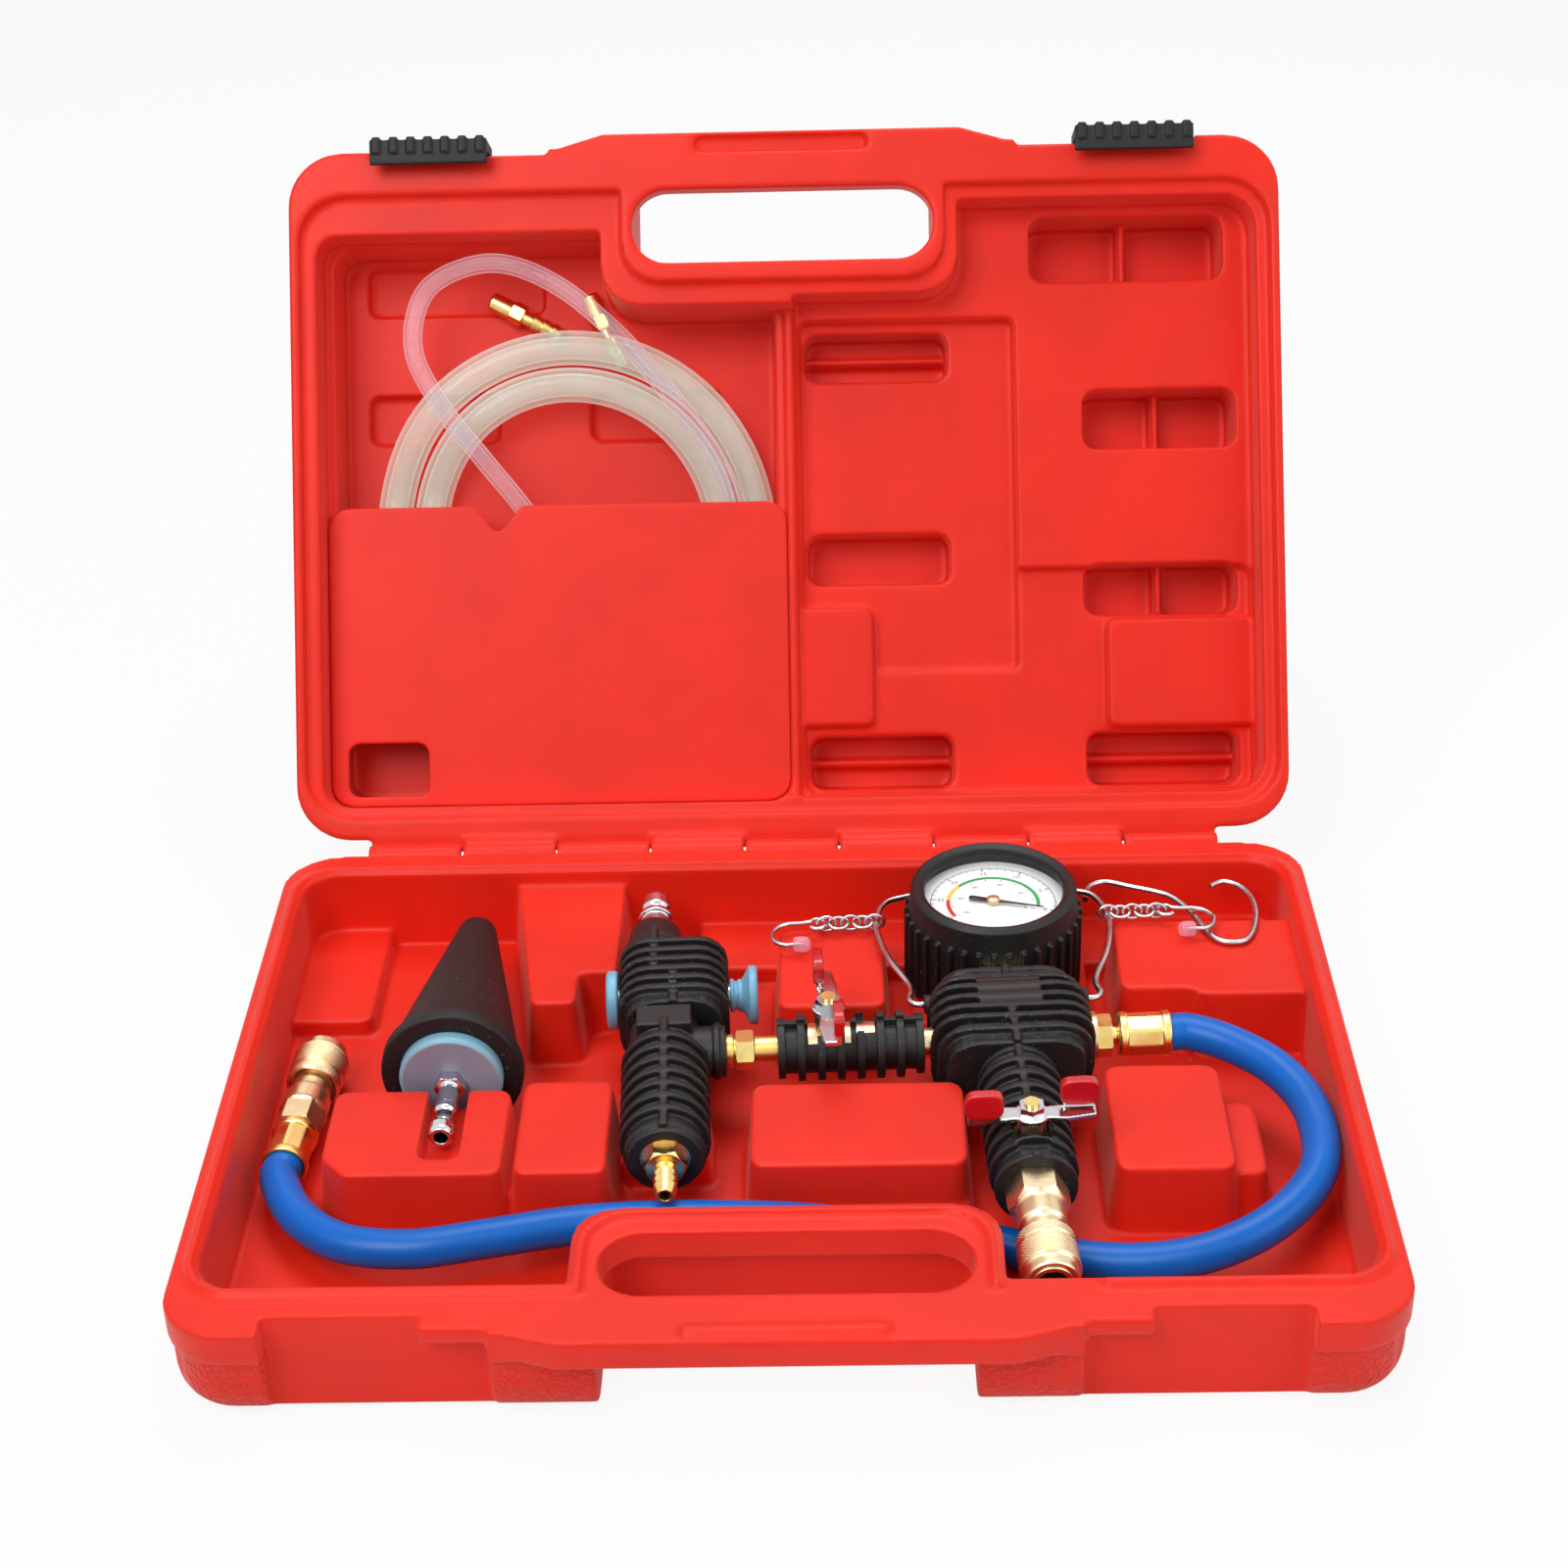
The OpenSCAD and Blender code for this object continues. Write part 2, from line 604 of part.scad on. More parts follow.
module manifold_cover() {
    step = (man_l - rib_t)/(man_ribs - 1);
    color([0.16, 0.16, 0.17]) in_kit() difference() {
        union() {
            ybar(man_w - 2*rib_h - 4, man_h - 2*rib_h - 1, 8, man_y0, man_y1);
            for (i = [0:man_ribs-1]) ybar(man_w - man_taper(i), man_h - man_taper(i)/2, 10,
                man_y0 + i*step, man_y0 + i*step + rib_t);
            translate([-1.2, man_y0, 0]) cube([2.4, man_l, man_h/2 - 1]);
            translate([-10.5, man_y0 + 3.5*step, 0]) cube([21, 2.4*step, man_h/2 - 0.4]);
            translate([0, ear_y, ear_z]) rotate([0, 90, 0])
                cylinder(r = 3.2, h = man_w + 1, center = true);
        }
        xcyl(pipe_r + fit, -man_w, man_w);
        ycyl(pipe_r + fit, -man_l, man_l);
        translate([0, ear_y, ear_z]) rotate([0, 90, 0])
            cylinder(r = wire_r + 0.25, h = 2*man_w, center = true);
    }
}

pipe_x0 = -man_w/2 - 3;
pipe_x1 = man_w/2 + 1;
module manifold_body() {
    color([0.79, 0.64, 0.42]) in_kit() difference() {
        union() {
            xcyl(pipe_r, -man_w/2 + 1, pipe_x1);
            ycyl(pipe_r, man_y0 + 0.5, man_y1 - 1);
            xcyl(5, pipe_x0, 0);
        }
        xcyl(bore_r, pipe_x0 - 1, pipe_x1 + 1);
        ycyl(bore_r, man_y0 - 1, man_y1 + 1);
        translate([0, ear_y, ear_z]) rotate([0, 90, 0])
            cylinder(r = wire_r + 0.4, h = 2*man_w, center = true);
    }
}

// Parts of a ball valve with the pipe along X and the stem at the origin
neck_top = handle_z - 1;
module valve_body(x0, x1) {
    difference() {
        union() {
            xcyl(pipe_r, x0, x1);
            zcyl(4.6, 0, neck_top);
        }
        xcyl(bore_r, x0 - 1, x1 + 1);
        sphere(r = ball_r + fit);
        zcyl(stem_r + fit, 0, neck_top + 1);
    }
}

module valve_ball() {
    difference() {
        sphere(r = ball_r);
        ycyl(bore_r, -ball_r - 1, ball_r + 1);
        zcyl(stem_r + fit, ball_r - 2, ball_r + 1);
    }
}

module valve_stem() { zcyl(stem_r, ball_r - 2, handle_z + plate_t + 4.2); }

// Butterfly handle across the pipe, with finger tabs bent up on opposite edges
module valve_handle() {
    difference() {
        union() {
            zcyl(5.5, handle_z, handle_z + plate_t);
            for (s = [0, 1]) rotate([0, 0, 180*s]) {
                translate([0, 0, handle_z]) linear_extrude(plate_t) polygon([[-arm_w/2 + 1, 0],
                    [arm_w/2 - 1, 0], [arm_w/2, handle_w/2 - 9], [arm_w/2 - 1.5, handle_w/2],
                    [-arm_w/2, handle_w/2], [-arm_w/2, handle_w/2 - 9]]);
                translate([-arm_w/2, handle_w/2 - 10, handle_z]) cube([plate_t, 10, tab_h]);
            }
        }
        zcyl(stem_r + fit, 0, 40);
    }
}

module valve_grips() {
    for (s = [0, 1]) rotate([0, 0, 180*s]) difference() {
        translate([-arm_w/2 + plate_t/2, handle_w/2 - 5, handle_z + tab_h/2 + 1.7]) rotate([90, 0, 90])
            translate([0, 0, -1.7]) linear_extrude(3.4)
            polygon(rounded(box_pts(-6, -tab_h/2 + 1, 6, tab_h/2), 3));
        translate([-arm_w/2 - fit, handle_w/2 - 10 - fit, 0])
            cube([plate_t + 2*fit, 10 + 2*fit, handle_z + tab_h + fit]);
    }
}

module valve_nut() {
    difference() {
        translate([0, 0, handle_z + plate_t]) cylinder(r = 4.2, h = 3, $fn = 6);
        zcyl(stem_r + fit, 0, 40);
    }
}

// Ribbed rubber cover of a ball valve from x0 to x1, with a window round the stem
module valve_cover(x0, x1, r, ribs, tall) {
    step = (x1 - x0 - rib_t)/(ribs - 1);
    difference() {
        union() {
            xcyl(r - rib_h, x0, x1);
            for (i = [0:ribs-1]) xcyl(i == 0 || i == ribs - 1 ? r - 1 : r, x0 + i*step, x0 + i*step + rib_t);
            translate([x0, -1.1, 0]) cube([x1 - x0, 2.2, r - 0.3]);
            if (tall > 0) for (i = [1:ribs-2]) if (abs(x0 + i*step) > 9)
                translate([x0 + i*step, -1.5, 0]) cube([rib_t, 3, r + tall]);
        }
        xcyl(pipe_r + fit, x0 - 1, x1 + 1);
        translate([-7, -6, 0]) cube([14, 12, 40]);
        translate([9, -5, r - 3.5]) cube([6, 10, 10]);
    }
}

v1_x0 = -man_w/2 - 2 - valve1_l;
v1_stem = v1_x0 + 17;
module at_valve1() { in_kit() translate([v1_stem, 0, 0]) children(); }
module valve1_cover() {
    color([0.16, 0.16, 0.17]) at_valve1() valve_cover(v1_x0 - v1_stem, valve1_l + v1_x0 - v1_stem,
        valve1_r, 8, 1.6);
}
module valve1_body() {
    color([0.79, 0.64, 0.42]) at_valve1() difference() {
        valve_body(v1_x0 - v1_stem + 0.5, pipe_x0 - v1_stem - fit);
        xcyl(5 + fit, pipe_x0 - v1_stem - 4, pipe_x0 - v1_stem + 4);
    }
}
module valve1_ball() { color([0.8, 0.8, 0.82]) at_valve1() valve_ball(); }
module valve1_stem() { color([0.8, 0.8, 0.82]) at_valve1() valve_stem(); }
module valve1_handle() { color([0.8, 0.8, 0.82]) at_valve1() valve_handle(); }
module valve1_grips() { color([0.88, 0.06, 0.12]) at_valve1() valve_grips(); }
module valve1_nut() { color([0.8, 0.75, 0.6]) at_valve1() valve_nut(); }

v2_y0 = man_y0;
v2_stem = v2_y0 - 40;
v2_end = v2_y0 - valve2_l;
module at_valve2() { in_kit() translate([0, v2_stem, 0]) rotate([0, 0, -90]) children(); }
module valve2_cover() {
    color([0.16, 0.16, 0.17]) at_valve2() valve_cover(v2_stem - v2_y0 + slide, v2_stem - v2_end,
        valve2_r, 9, 0);
}
module valve2_body() {
    color([0.79, 0.64, 0.42]) at_valve2() valve_body(v2_stem - v2_y0 + 0.1, v2_stem - v2_end);
}
module valve2_ball() { color([0.8, 0.8, 0.82]) at_valve2() valve_ball(); }
module valve2_stem() { color([0.8, 0.8, 0.82]) at_valve2() valve_stem(); }
module valve2_handle() { color([0.8, 0.8, 0.82]) at_valve2() valve_handle(); }
module valve2_grips() { color([0.88, 0.06, 0.12]) at_valve2() valve_grips(); }
module valve2_nut() { color([0.8, 0.75, 0.6]) at_valve2() valve_nut(); }

// Venturi
module at_venturi() { in_kit() translate([-vent_x, 0, 0]) children(); }
vent_low_y1 = 10;
vent_low_y0 = vent_low_y1 - vent_low_l;
vent_up_y0 = vent_low_y1 + slide;
vent_up_y1 = vent_up_y0 + vent_up_l;
vent_end = vent_up_y1 + 22;
spool_y = 31;
block_off = 3;
plug_off = -3.5;
neck_r = vent_h/2 - 3.1;
port_x = vent_r + 5.5;
module venturi_lower_cover() {
    step = 6.4;
    color([0.16, 0.16, 0.17]) at_venturi() difference() {
        union() {
            ycyl(vent_r - rib_h, vent_low_y0, vent_low_y1);
            for (i = [0:7]) ycyl(i == 0 ? vent_r - 1.5 : vent_r, vent_low_y0 + 2 + i*step,
                vent_low_y0 + 2 + i*step + rib_t);
            translate([-1.2, vent_low_y0 + 1, 0]) cube([2.4, 56, vent_r - 0.3]);
            translate([-9, vent_low_y1 - 12, 0]) cube([18, 11, vent_r - 1]);
            xcyl(8.5, 0, port_x);
            xcyl(9.4, vent_r + 1.5, vent_r + 3.5);
        }
        ycyl(pipe_r + fit, vent_low_y0 - 1, vent_low_y1 + 1);
        xcyl(6 + fit, 0, port_x + 1);
    }
}

module venturi_upper_cover() {
    step = (vent_up_l - rib_t)/6;
    neck = vent_end - vent_up_y1;
    color([0.16, 0.16, 0.17]) at_venturi() difference() {
        union() {
            translate([block_off, 0, 0]) {
                ybar(vent_w - 2*rib_h, vent_h - 2*rib_h, 8, vent_up_y0, vent_up_y1);
                for (i = [0:6]) ybar(vent_w - (i == 0 ? 6 : 0), vent_h - (i == 0 ? 4 : 0), 10,
                    vent_up_y0 + i*step, vent_up_y0 + i*step + rib_t);
                translate([-1.2, vent_up_y0, 0]) cube([2.4, vent_up_l*0.55, vent_h/2 - 1.4]);
            }
            // Neck that narrows to the air plug, beside the block's middle
            translate([plug_off, vent_up_y1, 0]) {
                yturn([[0, -1], [neck_r, -1], [neck_r - 0.5, 3], [9, neck], [0, neck]]);
                for (i = [0:1]) ycyl(neck_r - i, 3.4 + 5.2*i, 3.4 + 5.2*i + rib_t);
                translate([-1.2, -vent_up_l*0.45, 0]) cube([2.4, vent_up_l*0.45 + 10, vent_h/2 - 1.4]);
            }
        }
        ycyl(pipe_r + fit, vent_up_y0 - 1, vent_up_y1 + 1 + fit);
        translate([plug_off, 0, 0]) ycyl(pipe_r - 1 + fit, vent_up_y1, vent_end + 1);
        translate([0, spool_y, 0]) xcyl(6 + fit, -vent_w, vent_w);
    }
}

module venturi_body() {
    color([0.79, 0.64, 0.42]) at_venturi() difference() {
        union() {
            ycyl(pipe_r, vent_low_y0 + 1, vent_up_y1 + 1);
            translate([plug_off, 0, 0]) ycyl(pipe_r - 1, vent_up_y1, vent_end - 1);
            xcyl(6, 0, port_x);
        }
        ycyl(bore_r + 0.5, 12, vent_up_y1 - 1);
        ycyl(bore_r, vent_low_y0 - 1, 13);
        translate([plug_off, 0, 0]) ycyl(bore_r - 1, vent_up_y1 - 4, vent_end);
        xcyl(bore_r, 0, port_x + 1);
        translate([0, spool_y, 0]) xcyl(4 + fit, -20, 20);
    }
}

module venturi_jet() {
    color([0.79, 0.64, 0.42]) at_venturi() difference() {
        yturn([[0, 13 + fit], [bore_r + 0.5 - fit, 13 + fit], [bore_r + 0.5 - fit, 20], [0, 20]]);
        yturn([[0, 10], [1, 10], [1, 15], [2.6, 21], [0, 21]]);
    }
}

module air_plug() {
    y = vent_end - 1;
    color([0.8, 0.8, 0.82]) at_venturi() translate([plug_off, y, 0]) difference() {
        yturn([[0, fit], [6.2, fit], [6.2, 4], [5.2, 5], [5.2, 10], [6.4, 10.5], [6.4, 12.5], [4.2, 13.5],
            [4.2, 15.5], [5.4, 17], [5.4, 22], [4.6, 24], [0, 24]]);
        ycyl(2.5, -1, 30);
    }
}

spool_out = spool_travel + slide;
module air_spool() {
    color([0.7, 0.72, 0.74]) at_venturi() translate([block_off, spool_y, 0]) difference() {
        xcyl(4, -vent_w/2 - slide, vent_w/2 + spool_out + 1);
        translate([4 - block_off, 0, 0]) ycyl(2.5, -6, 6);
    }
}
module spool_caps() {
    color([0.56, 0.77, 0.87]) at_venturi() translate([block_off, spool_y, 0]) {
        difference() {
            xturn([[0, -vent_w/2 - slide - 4], [cap_r - 1, -vent_w/2 - slide - 4],
                [cap_r, -vent_w/2 - slide - 3], [cap_r, -vent_w/2 - slide], [0, -vent_w/2 - slide]]);
            xcyl(0.5, -vent_w, -vent_w/2 - slide - 3);
        }
        difference() {
            xturn([[0, vent_w/2 + slide], [5.2, vent_w/2 + slide], [5.7, vent_w/2 + spool_out],
                [cap_r, vent_w/2 + spool_out + 0.5], [cap_r, vent_w/2 + spool_out + 3.5],
                [cap_r - 1, vent_w/2 + spool_out + 4.5], [0, vent_w/2 + spool_out + 4.5]]);
            xcyl(4 + fit, 0, vent_w/2 + spool_out + 1 + fit);
        }
    }
}

module exhaust_barb() {
    y = vent_low_y0 + 1 - fit;
    color([0.91, 0.75, 0.31]) at_venturi() difference() {
        union() {
            yhex(12, y - 5, y);
            yturn([[0, y - 5], [3.2, y - 5], [3.2, y - 8], [3.9, y - 8], [2.9, y - 11], [3.9, y - 11],
                [2.9, y - 14], [3.9, y - 14], [2.6, y - 18], [0, y - 18]]);
        }
        ycyl(1.8, y - 30, y + 10);
    }
}

module link_nipple() {
    x0 = -vent_x + port_x + fit;
    x1 = v1_x0 + 0.5 - fit;
    color([0.91, 0.75, 0.31]) in_kit() difference() {
        union() {
            xcyl(4.6, x0, x1);
            xhex(11.5, x0 + 3, x0 + 9);
            xcyl(5.6, x0, x0 + 3);
        }
        xcyl(bore_r - 0.6, x0 - 1, x1 + 1);
    }
}

// Gauge
module at_gauge() { in_kit() translate([0, gauge_y, 0]) children(); }
boot_z0 = -17;
boot_r = gauge_r + fit + 1.6;
dial_z = gauge_top - 9;
module gauge_boot() {
    color([0.15, 0.15, 0.16]) at_gauge() difference() {
        union() {
            rotate_extrude() polygon([[gauge_r + fit, boot_z0 + 2], [gauge_r - 3, boot_z0 + 2],
                [gauge_r - 3, boot_z0], [boot_r - 1, boot_z0], [boot_r, boot_z0 + 1],
                [boot_r, gauge_top - 9], [gauge_r + 1.6, gauge_top - 8],
                [gauge_r + 1.2, gauge_top - 1.5], [gauge_r - 0.6, gauge_top], [glass_r + 0.8, gauge_top - 1],
                [glass_r, gauge_top - 3.5], [gauge_r + fit, gauge_top - 3.5]]);
            for (i = [0:fins-1]) rotate([0, 0, 360*(i + 0.5)/fins])
                translate([boot_r - 0.8, -0.9, boot_z0 + 0.8])
                cube([fin_h + 0.8 - 0.5, 1.8, gauge_top - 10 - boot_z0]);
        }
        translate([0, -gauge_r, 0]) cube([square_w + 2*fit, 20, square_w + 2*fit], center = true);
    }
}

module gauge_case() {
    color([0.2, 0.2, 0.21]) at_gauge() difference() {
        zcyl(gauge_r, boot_z0 + 2 + fit, gauge_top - 3.5 - fit);
        zcyl(gauge_r - 1.4, boot_z0 + 3.6, gauge_top);
        translate([0, -gauge_r, 0]) cube([square_w + 2*fit, 20, square_w + 2*fit], center = true);
    }
}

module gauge_dial() {
    color([0.95, 0.95, 0.95]) at_gauge() difference() {
        zcyl(gauge_r - 1.4 - fit, dial_z, dial_z + 0.8);
        zcyl(1.1, dial_z - 1, dial_z + 2);
    }
}

// Needle at rest on the zero peg, turned clockwise from the far side
needle_rest = 107;
module gauge_pointer() {
    color([0.1, 0.1, 0.1]) at_gauge() rotate([0, 0, -needle_rest]) {
        zcyl(0.9, 7.8, dial_z + 3);
        zcyl(2.4, dial_z + 1.3, dial_z + 3.2);
        translate([0, 0, dial_z + 1.6]) linear_extrude(0.7)
            polygon([[-1.1, -8], [1.1, -8], [0.9, 0], [0.3, 17.5], [-0.3, 17.5], [-0.9, 0]]);
    }
}

module gauge_lens() {
    color([0.85, 0.9, 0.92, 0.4]) at_gauge() zcyl(gauge_r - 1.4 - fit, gauge_top - 5.3, gauge_top - 3.5 - fit);
}

module gauge_stem() {
    color([0.79, 0.64, 0.42]) in_kit() difference() {
        union() {
            translate([-square_w/2, man_y1 + fit, -square_w/2])
                cube([square_w, gauge_y - gauge_r + 5 - man_y1, square_w]);
            ycyl(5, man_y1 - 1 + fit, gauge_y + 4);
            translate([-6, gauge_y - 8, -6]) cube([12, 16, 13.5]);
        }
        ycyl(1.6, 0, gauge_y);
        translate([0, gauge_y, 0]) zcyl(0.9 + fit, 6, 20);
        translate([0, gauge_y, 0]) rotate_extrude() translate([17, -4]) square([4.2, 8]);
    }
}

// Curved pressure tube with its root in the stem's block
module gauge_tube() {
    color([0.85, 0.7, 0.4]) at_gauge() difference() {
        union() {
            rotate([0, 0, -80]) rotate_extrude(angle = 270) translate([19, 0]) square([1.6, 6], center = true);
            translate([8, -3, -2]) rotate([0, 0, 10]) translate([-1.8 , 0, 0]) cube([12.5, 2, 4]);
        }
        translate([-6 - fit, -8 - fit, -8]) cube([12 + 2*fit, 16 + 2*fit, 16]);
        translate([-5 - fit, -40, -8]) cube([10 + 2*fit, 40, 16]);
    }
}

// Couplers, hose and its fittings
out_y = v2_end - fit;
sleeve_y = 20 + sleeve_travel;
coupler_end = sleeve_y + sleeve_l + 1.5;
module coupler_body_at(y, hex) {
    difference() {
        union() {
            yhex(hex, y - 9, y);
            yturn([[0, y - 9], [7.6, y - 9], [7.6, y - 18], [6.4, y - 19], [6.4, y - coupler_end],
                [0, y - coupler_end]]);
        }
        ycyl(4.6, y - coupler_end - 1, y - sleeve_y);
        ycyl(bore_r - 0.5, y - sleeve_y - 1, y + 1);
    }
}
module coupler_sleeve_at(y) {
    difference() {
        translate([0, y - sleeve_y, 0]) yturn([[0, 0], [sleeve_r - 1, 0], [sleeve_r, -1],
            [sleeve_r, -sleeve_l], [sleeve_r - 0.8, -sleeve_l - 1], [0, -sleeve_l - 1]]);
        ycyl(6.4 + fit, y - 60, y);
        ycyl(8, y - sleeve_y - 2, y);
    }
}
module outlet_body() { color([0.79, 0.64, 0.42]) in_kit() coupler_body_at(out_y, 17); }
module outlet_sleeve() { color([0.79, 0.64, 0.42]) in_kit() coupler_sleeve_at(out_y); }

fit_x0 = pipe_x1 + fit;
ferrule_r = hose_r + ferrule_t;
module hose_fitting() {
    color([0.91, 0.75, 0.31]) in_kit() difference() {
        union() {
            xhex(12.5, fit_x0, fit_x0 + 5);
            xcyl(3.2, fit_x0 + 5, fit_x0 + 7);
        }
        xcyl(bore_r - 1, 0, 100);
    }
}
module ferrule_at(x0) {
    difference() {
        union() {
            xcyl(ferrule_r, x0, x0 + ferrule_l);
            xcyl(ferrule_r + 0.5, x0 + 1, x0 + 3);
            xcyl(ferrule_r + 0.5, x0 + ferrule_l - 2.5, x0 + ferrule_l);
        }
        xcyl(hose_r + fit, x0 + 3, x0 + ferrule_l + 1);
        xcyl(bore_r - 1, x0 - 1, x0 + 4);
    }
}
module ferrule_right() { color([0.94, 0.78, 0.38]) in_kit() ferrule_at(fit_x0 + 7); }

// Left end of the hose: a coupler that lies on the floor, its axis along local Y
left_x = -158.5;
left_y = 36;
left_turn = -4;
left_z = floor_t + seat + sleeve_r;
module at_left() { translate([left_x, left_y, left_z]) rotate([0, 0, left_turn]) children(); }
// The coupler points to the back, so it is turned end for end
module left_flip() { at_left() rotate([0, 0, 180]) translate([0, coupler_end, 0]) children(); }
module hose_coupler() { color([0.79, 0.64, 0.42]) left_flip() coupler_body_at(0, 14); }
module hose_coupler_sleeve() { color([0.79, 0.64, 0.42]) left_flip() coupler_sleeve_at(0); }
module ferrule_left() {
    color([0.94, 0.78, 0.38]) left_flip() rotate([0, 0, 90]) ferrule_at(fit);
}

// Points of the blue hose between its two ferrules
function kit_point(p) = [kit_x + p[0]*cos(kit_yaw) - p[1]*sin(kit_yaw),
    kit_y + p[0]*sin(kit_yaw) + p[1]*cos(kit_yaw), kit_z + p[2]];
function left_point(y) = [left_x + y*sin(-left_turn)*-1, left_y - y*cos(left_turn), left_z];
hose_x0 = fit_x0 + 10.2;
hose_mid = [[144, 15, 29.5], [157, 3, 29], [165, -12, 28], [167.5, -29, 27], [165, -46, 26],
    [156, -60, 24], [142, -70, 20.5], [124, -75, 16.5], [104, -74.5, 13.5], [82, -70, 12.5], [58, -63, 13],
    [30, -60, 15], [0, -58.5, 18], [-36, -57.5, 18.5], [-66, -60, 19], [-92, -65.5, 19],
    [-116, -69.5, 18.5], [-138, -65, 17.5], [-154, -51, 16.5]];
left_hose = coupler_end + 3.2;
end_steps = [0, 7, 14, 21];
blue_points = concat([for (d = end_steps) kit_point([hose_x0 + d, 0, 0])], hose_mid,
    [for (i = [3:-1:0]) left_point(left_hose + end_steps[i])]);
module blue_hose() { color([0.12, 0.43, 0.82]) tube(smooth(blue_points, 3), hose_r, 10); }

// Hanging wire with its chains and hooks
bail_half = [[man_w/2 - 5, ear_y, ear_z], [man_w/2 - 1, ear_y, ear_z], [man_w/2 + 3, ear_y, ear_z],
    [32, ear_y + 3, ear_z], [31.5, ear_y + 11, ear_z], [37, ear_y + 26, ear_z],
    [40, ear_y + 40, ear_z], [40, ear_y + 52, ear_z], [36, ear_y + 62, ear_z]];
bail_r = boot_r + fin_h + wire_r + 0.8;
bail_back = [for (i = [1:5]) [bail_r*cos(15 + 25*i), gauge_y + bail_r*sin(15 + 25*i), ear_z]];
bail_points = concat(bail_half, bail_back,
    [for (i = [len(bail_half)-1:-1:0]) [-bail_half[i][0], bail_half[i][1], ear_z]]);
module wire_bail() { color([0.78, 0.78, 0.8]) in_kit() tube(smooth(bail_points, 2), wire_r, 8); }

link_r = 3;
link_w = 0.6;
link_step = 4.2;
// A row of round links from p in the direction of angle a
module chain(p, a, count) {
    translate(p) rotate([0, 0, a]) for (i = [0:count-1]) translate([i*link_step, 0, 0])
        rotate([i%2 == 0 ? 0 : 90, 0, 0]) rotate_extrude() translate([link_r, 0]) circle(r = link_w, $fn = 24);
}
left_chain = [-40, ear_y + 50, ear_z];
right_chain = [40, ear_y + 50, ear_z];
links = 5;
module chains() {
    color([0.78, 0.78, 0.8]) in_kit() {
        translate(left_chain) rotate([90, 0, 0]) rotate([0, 0, 180]) chain([link_out, 0, 0], 0, links);
        translate(right_chain) rotate([90, 0, 0]) chain([link_out, 0, 0], 0, links);
    }
}

link_out = 0.9;
eye_r = 3;
hook_x = link_out + (links - 1)*link_step + eye_r + 0.3;
// Wire hook: an eye that is bent round almost to the shank, the shank and the hook
hook_pts = concat([for (i = [0:7]) [hook_x + eye_r*cos(40 + 290*i/7), -eye_r*sin(40 + 290*i/7), 0]],
    [for (p = [[6, 0.8], [10, 0.6], [13.5, -1], [16, -5], [14.8, -10], [11.5, -12], [8.5, -12], [5.5, -12]])
        [hook_x + p[0], p[1], 0]]);
hook_wire = 0.8;
hook_line = smooth(hook_pts, 2);
hook_end = hook_line[len(hook_line)-1];
module chain_hook() { tube(hook_line, hook_wire, 6); }
module hook_tip() {
    bore = hook_wire + fit;
    translate(hook_end) xturn([[0, -2.2], [1.2, -2], [2.2, -1], [2.6, 0.4], [2.3, 2], [1.6, 2.8], [bore, 2.8],
        [bore, -fit], [0, -fit]]);
}
module both_hooks() {
    in_kit() {
        translate(left_chain) mirror([1, 0, 0]) children();
        translate(right_chain) children();
    }
}
module chain_hooks() { color([0.78, 0.78, 0.8]) both_hooks() chain_hook(); }
module hook_tips() { color([0.95, 0.8, 0.85, 0.6]) both_hooks() hook_tip(); }

hanger_z = plateau + wire_r + seat;
hanger_points = [[-58, 98, 0], [-56, 106, 0], [-50, 109, 0], [-42, 106, 0], [-29, 100, 0],
    [-22, 90, 0], [-18.5, 80, 0], [-15, 72.5, 0], [-10, 70, 0], [-4, 72, 0], [0, 82, 0], [1, 94, 0],
    [-2, 104, 0], [-8, 108, 0], [-13, 105, 0]];
module hanger_wire() {
    color([0.78, 0.78, 0.8]) translate([tray_x - 12, 0, hanger_z]) tube(smooth(hanger_points, 2), wire_r, 8);
}

// Filler neck cone
module at_cone() { translate([cone_x, cone_y, cone_z]) children(); }
module cone_rubber() {
    color([0.15, 0.15, 0.16]) at_cone() difference() {
        yturn([[0, 0], [cone_r - 0.8, 0], [cone_r, 0.8], [cone_r, 5], [cone_r - 1.5, 6.5],
            [cone_tip_r, cone_l - 1.5], [cone_tip_r - 1.5, cone_l], [0, cone_l]]);
        ycyl(plate_r + fit, -1, 2);
        ycyl(4 + fit, -1, cone_l + 1);
    }
}
module cone_plate() {
    color([0.56, 0.6, 0.68]) at_cone() difference() {
        yturn([[0, -4], [plate_r - 1.2, -4], [plate_r, -2.8], [plate_r, 2 - fit], [0, 2 - fit]]);
        ycyl(4 + fit, -6, 4);
    }
}
module cone_nipple() {
    color([0.8, 0.8, 0.82]) at_cone() difference() {
        union() {
            ycyl(4, -8, 16);
            yhex(9, -8, -4 - fit);
            yturn([[0, -7], [3.6, -7.5], [3.6, -20], [3, -21], [3, -24], [4.2, -25.5], [4.2, -31],
                [3.4, -33], [0, -33]]);
        }
        ycyl(2.2, -40, 20);
    }
}

// Clear hoses in the lid
coil_u = -84;
coil_v = 115;
coil_start = -28;
coil_low = hose_deep - seat - clear_r;
coil_high = coil_low - 9.7;
function ease(t) = let (s = max(0, min(1, t))) s*s*(3 - 2*s);
function coil_depth(v) = coil_low + (coil_high - coil_low)*ease((v - 128)/40);
function lid_point(u, v, deep) = [u, back - v, lid_z0 + deep];
coil_rings = round(24*coil_turns);
coil_points = [for (i = [0:coil_rings]) let (turn = coil_turns*i/coil_rings, a = coil_start - 360*turn,
    r = coil_r + coil_pitch*turn, v = coil_v + r*sin(a)) lid_point(coil_u + r*cos(a), v, coil_depth(v))];
coil_gap = min([for (i = [0:coil_rings]) for (j = [0:coil_rings]) if (abs(i - j) > 10)
    norm(coil_points[i] - coil_points[j])]) - 2*clear_r;
echo("least gap between the coil's turns", coil_gap);
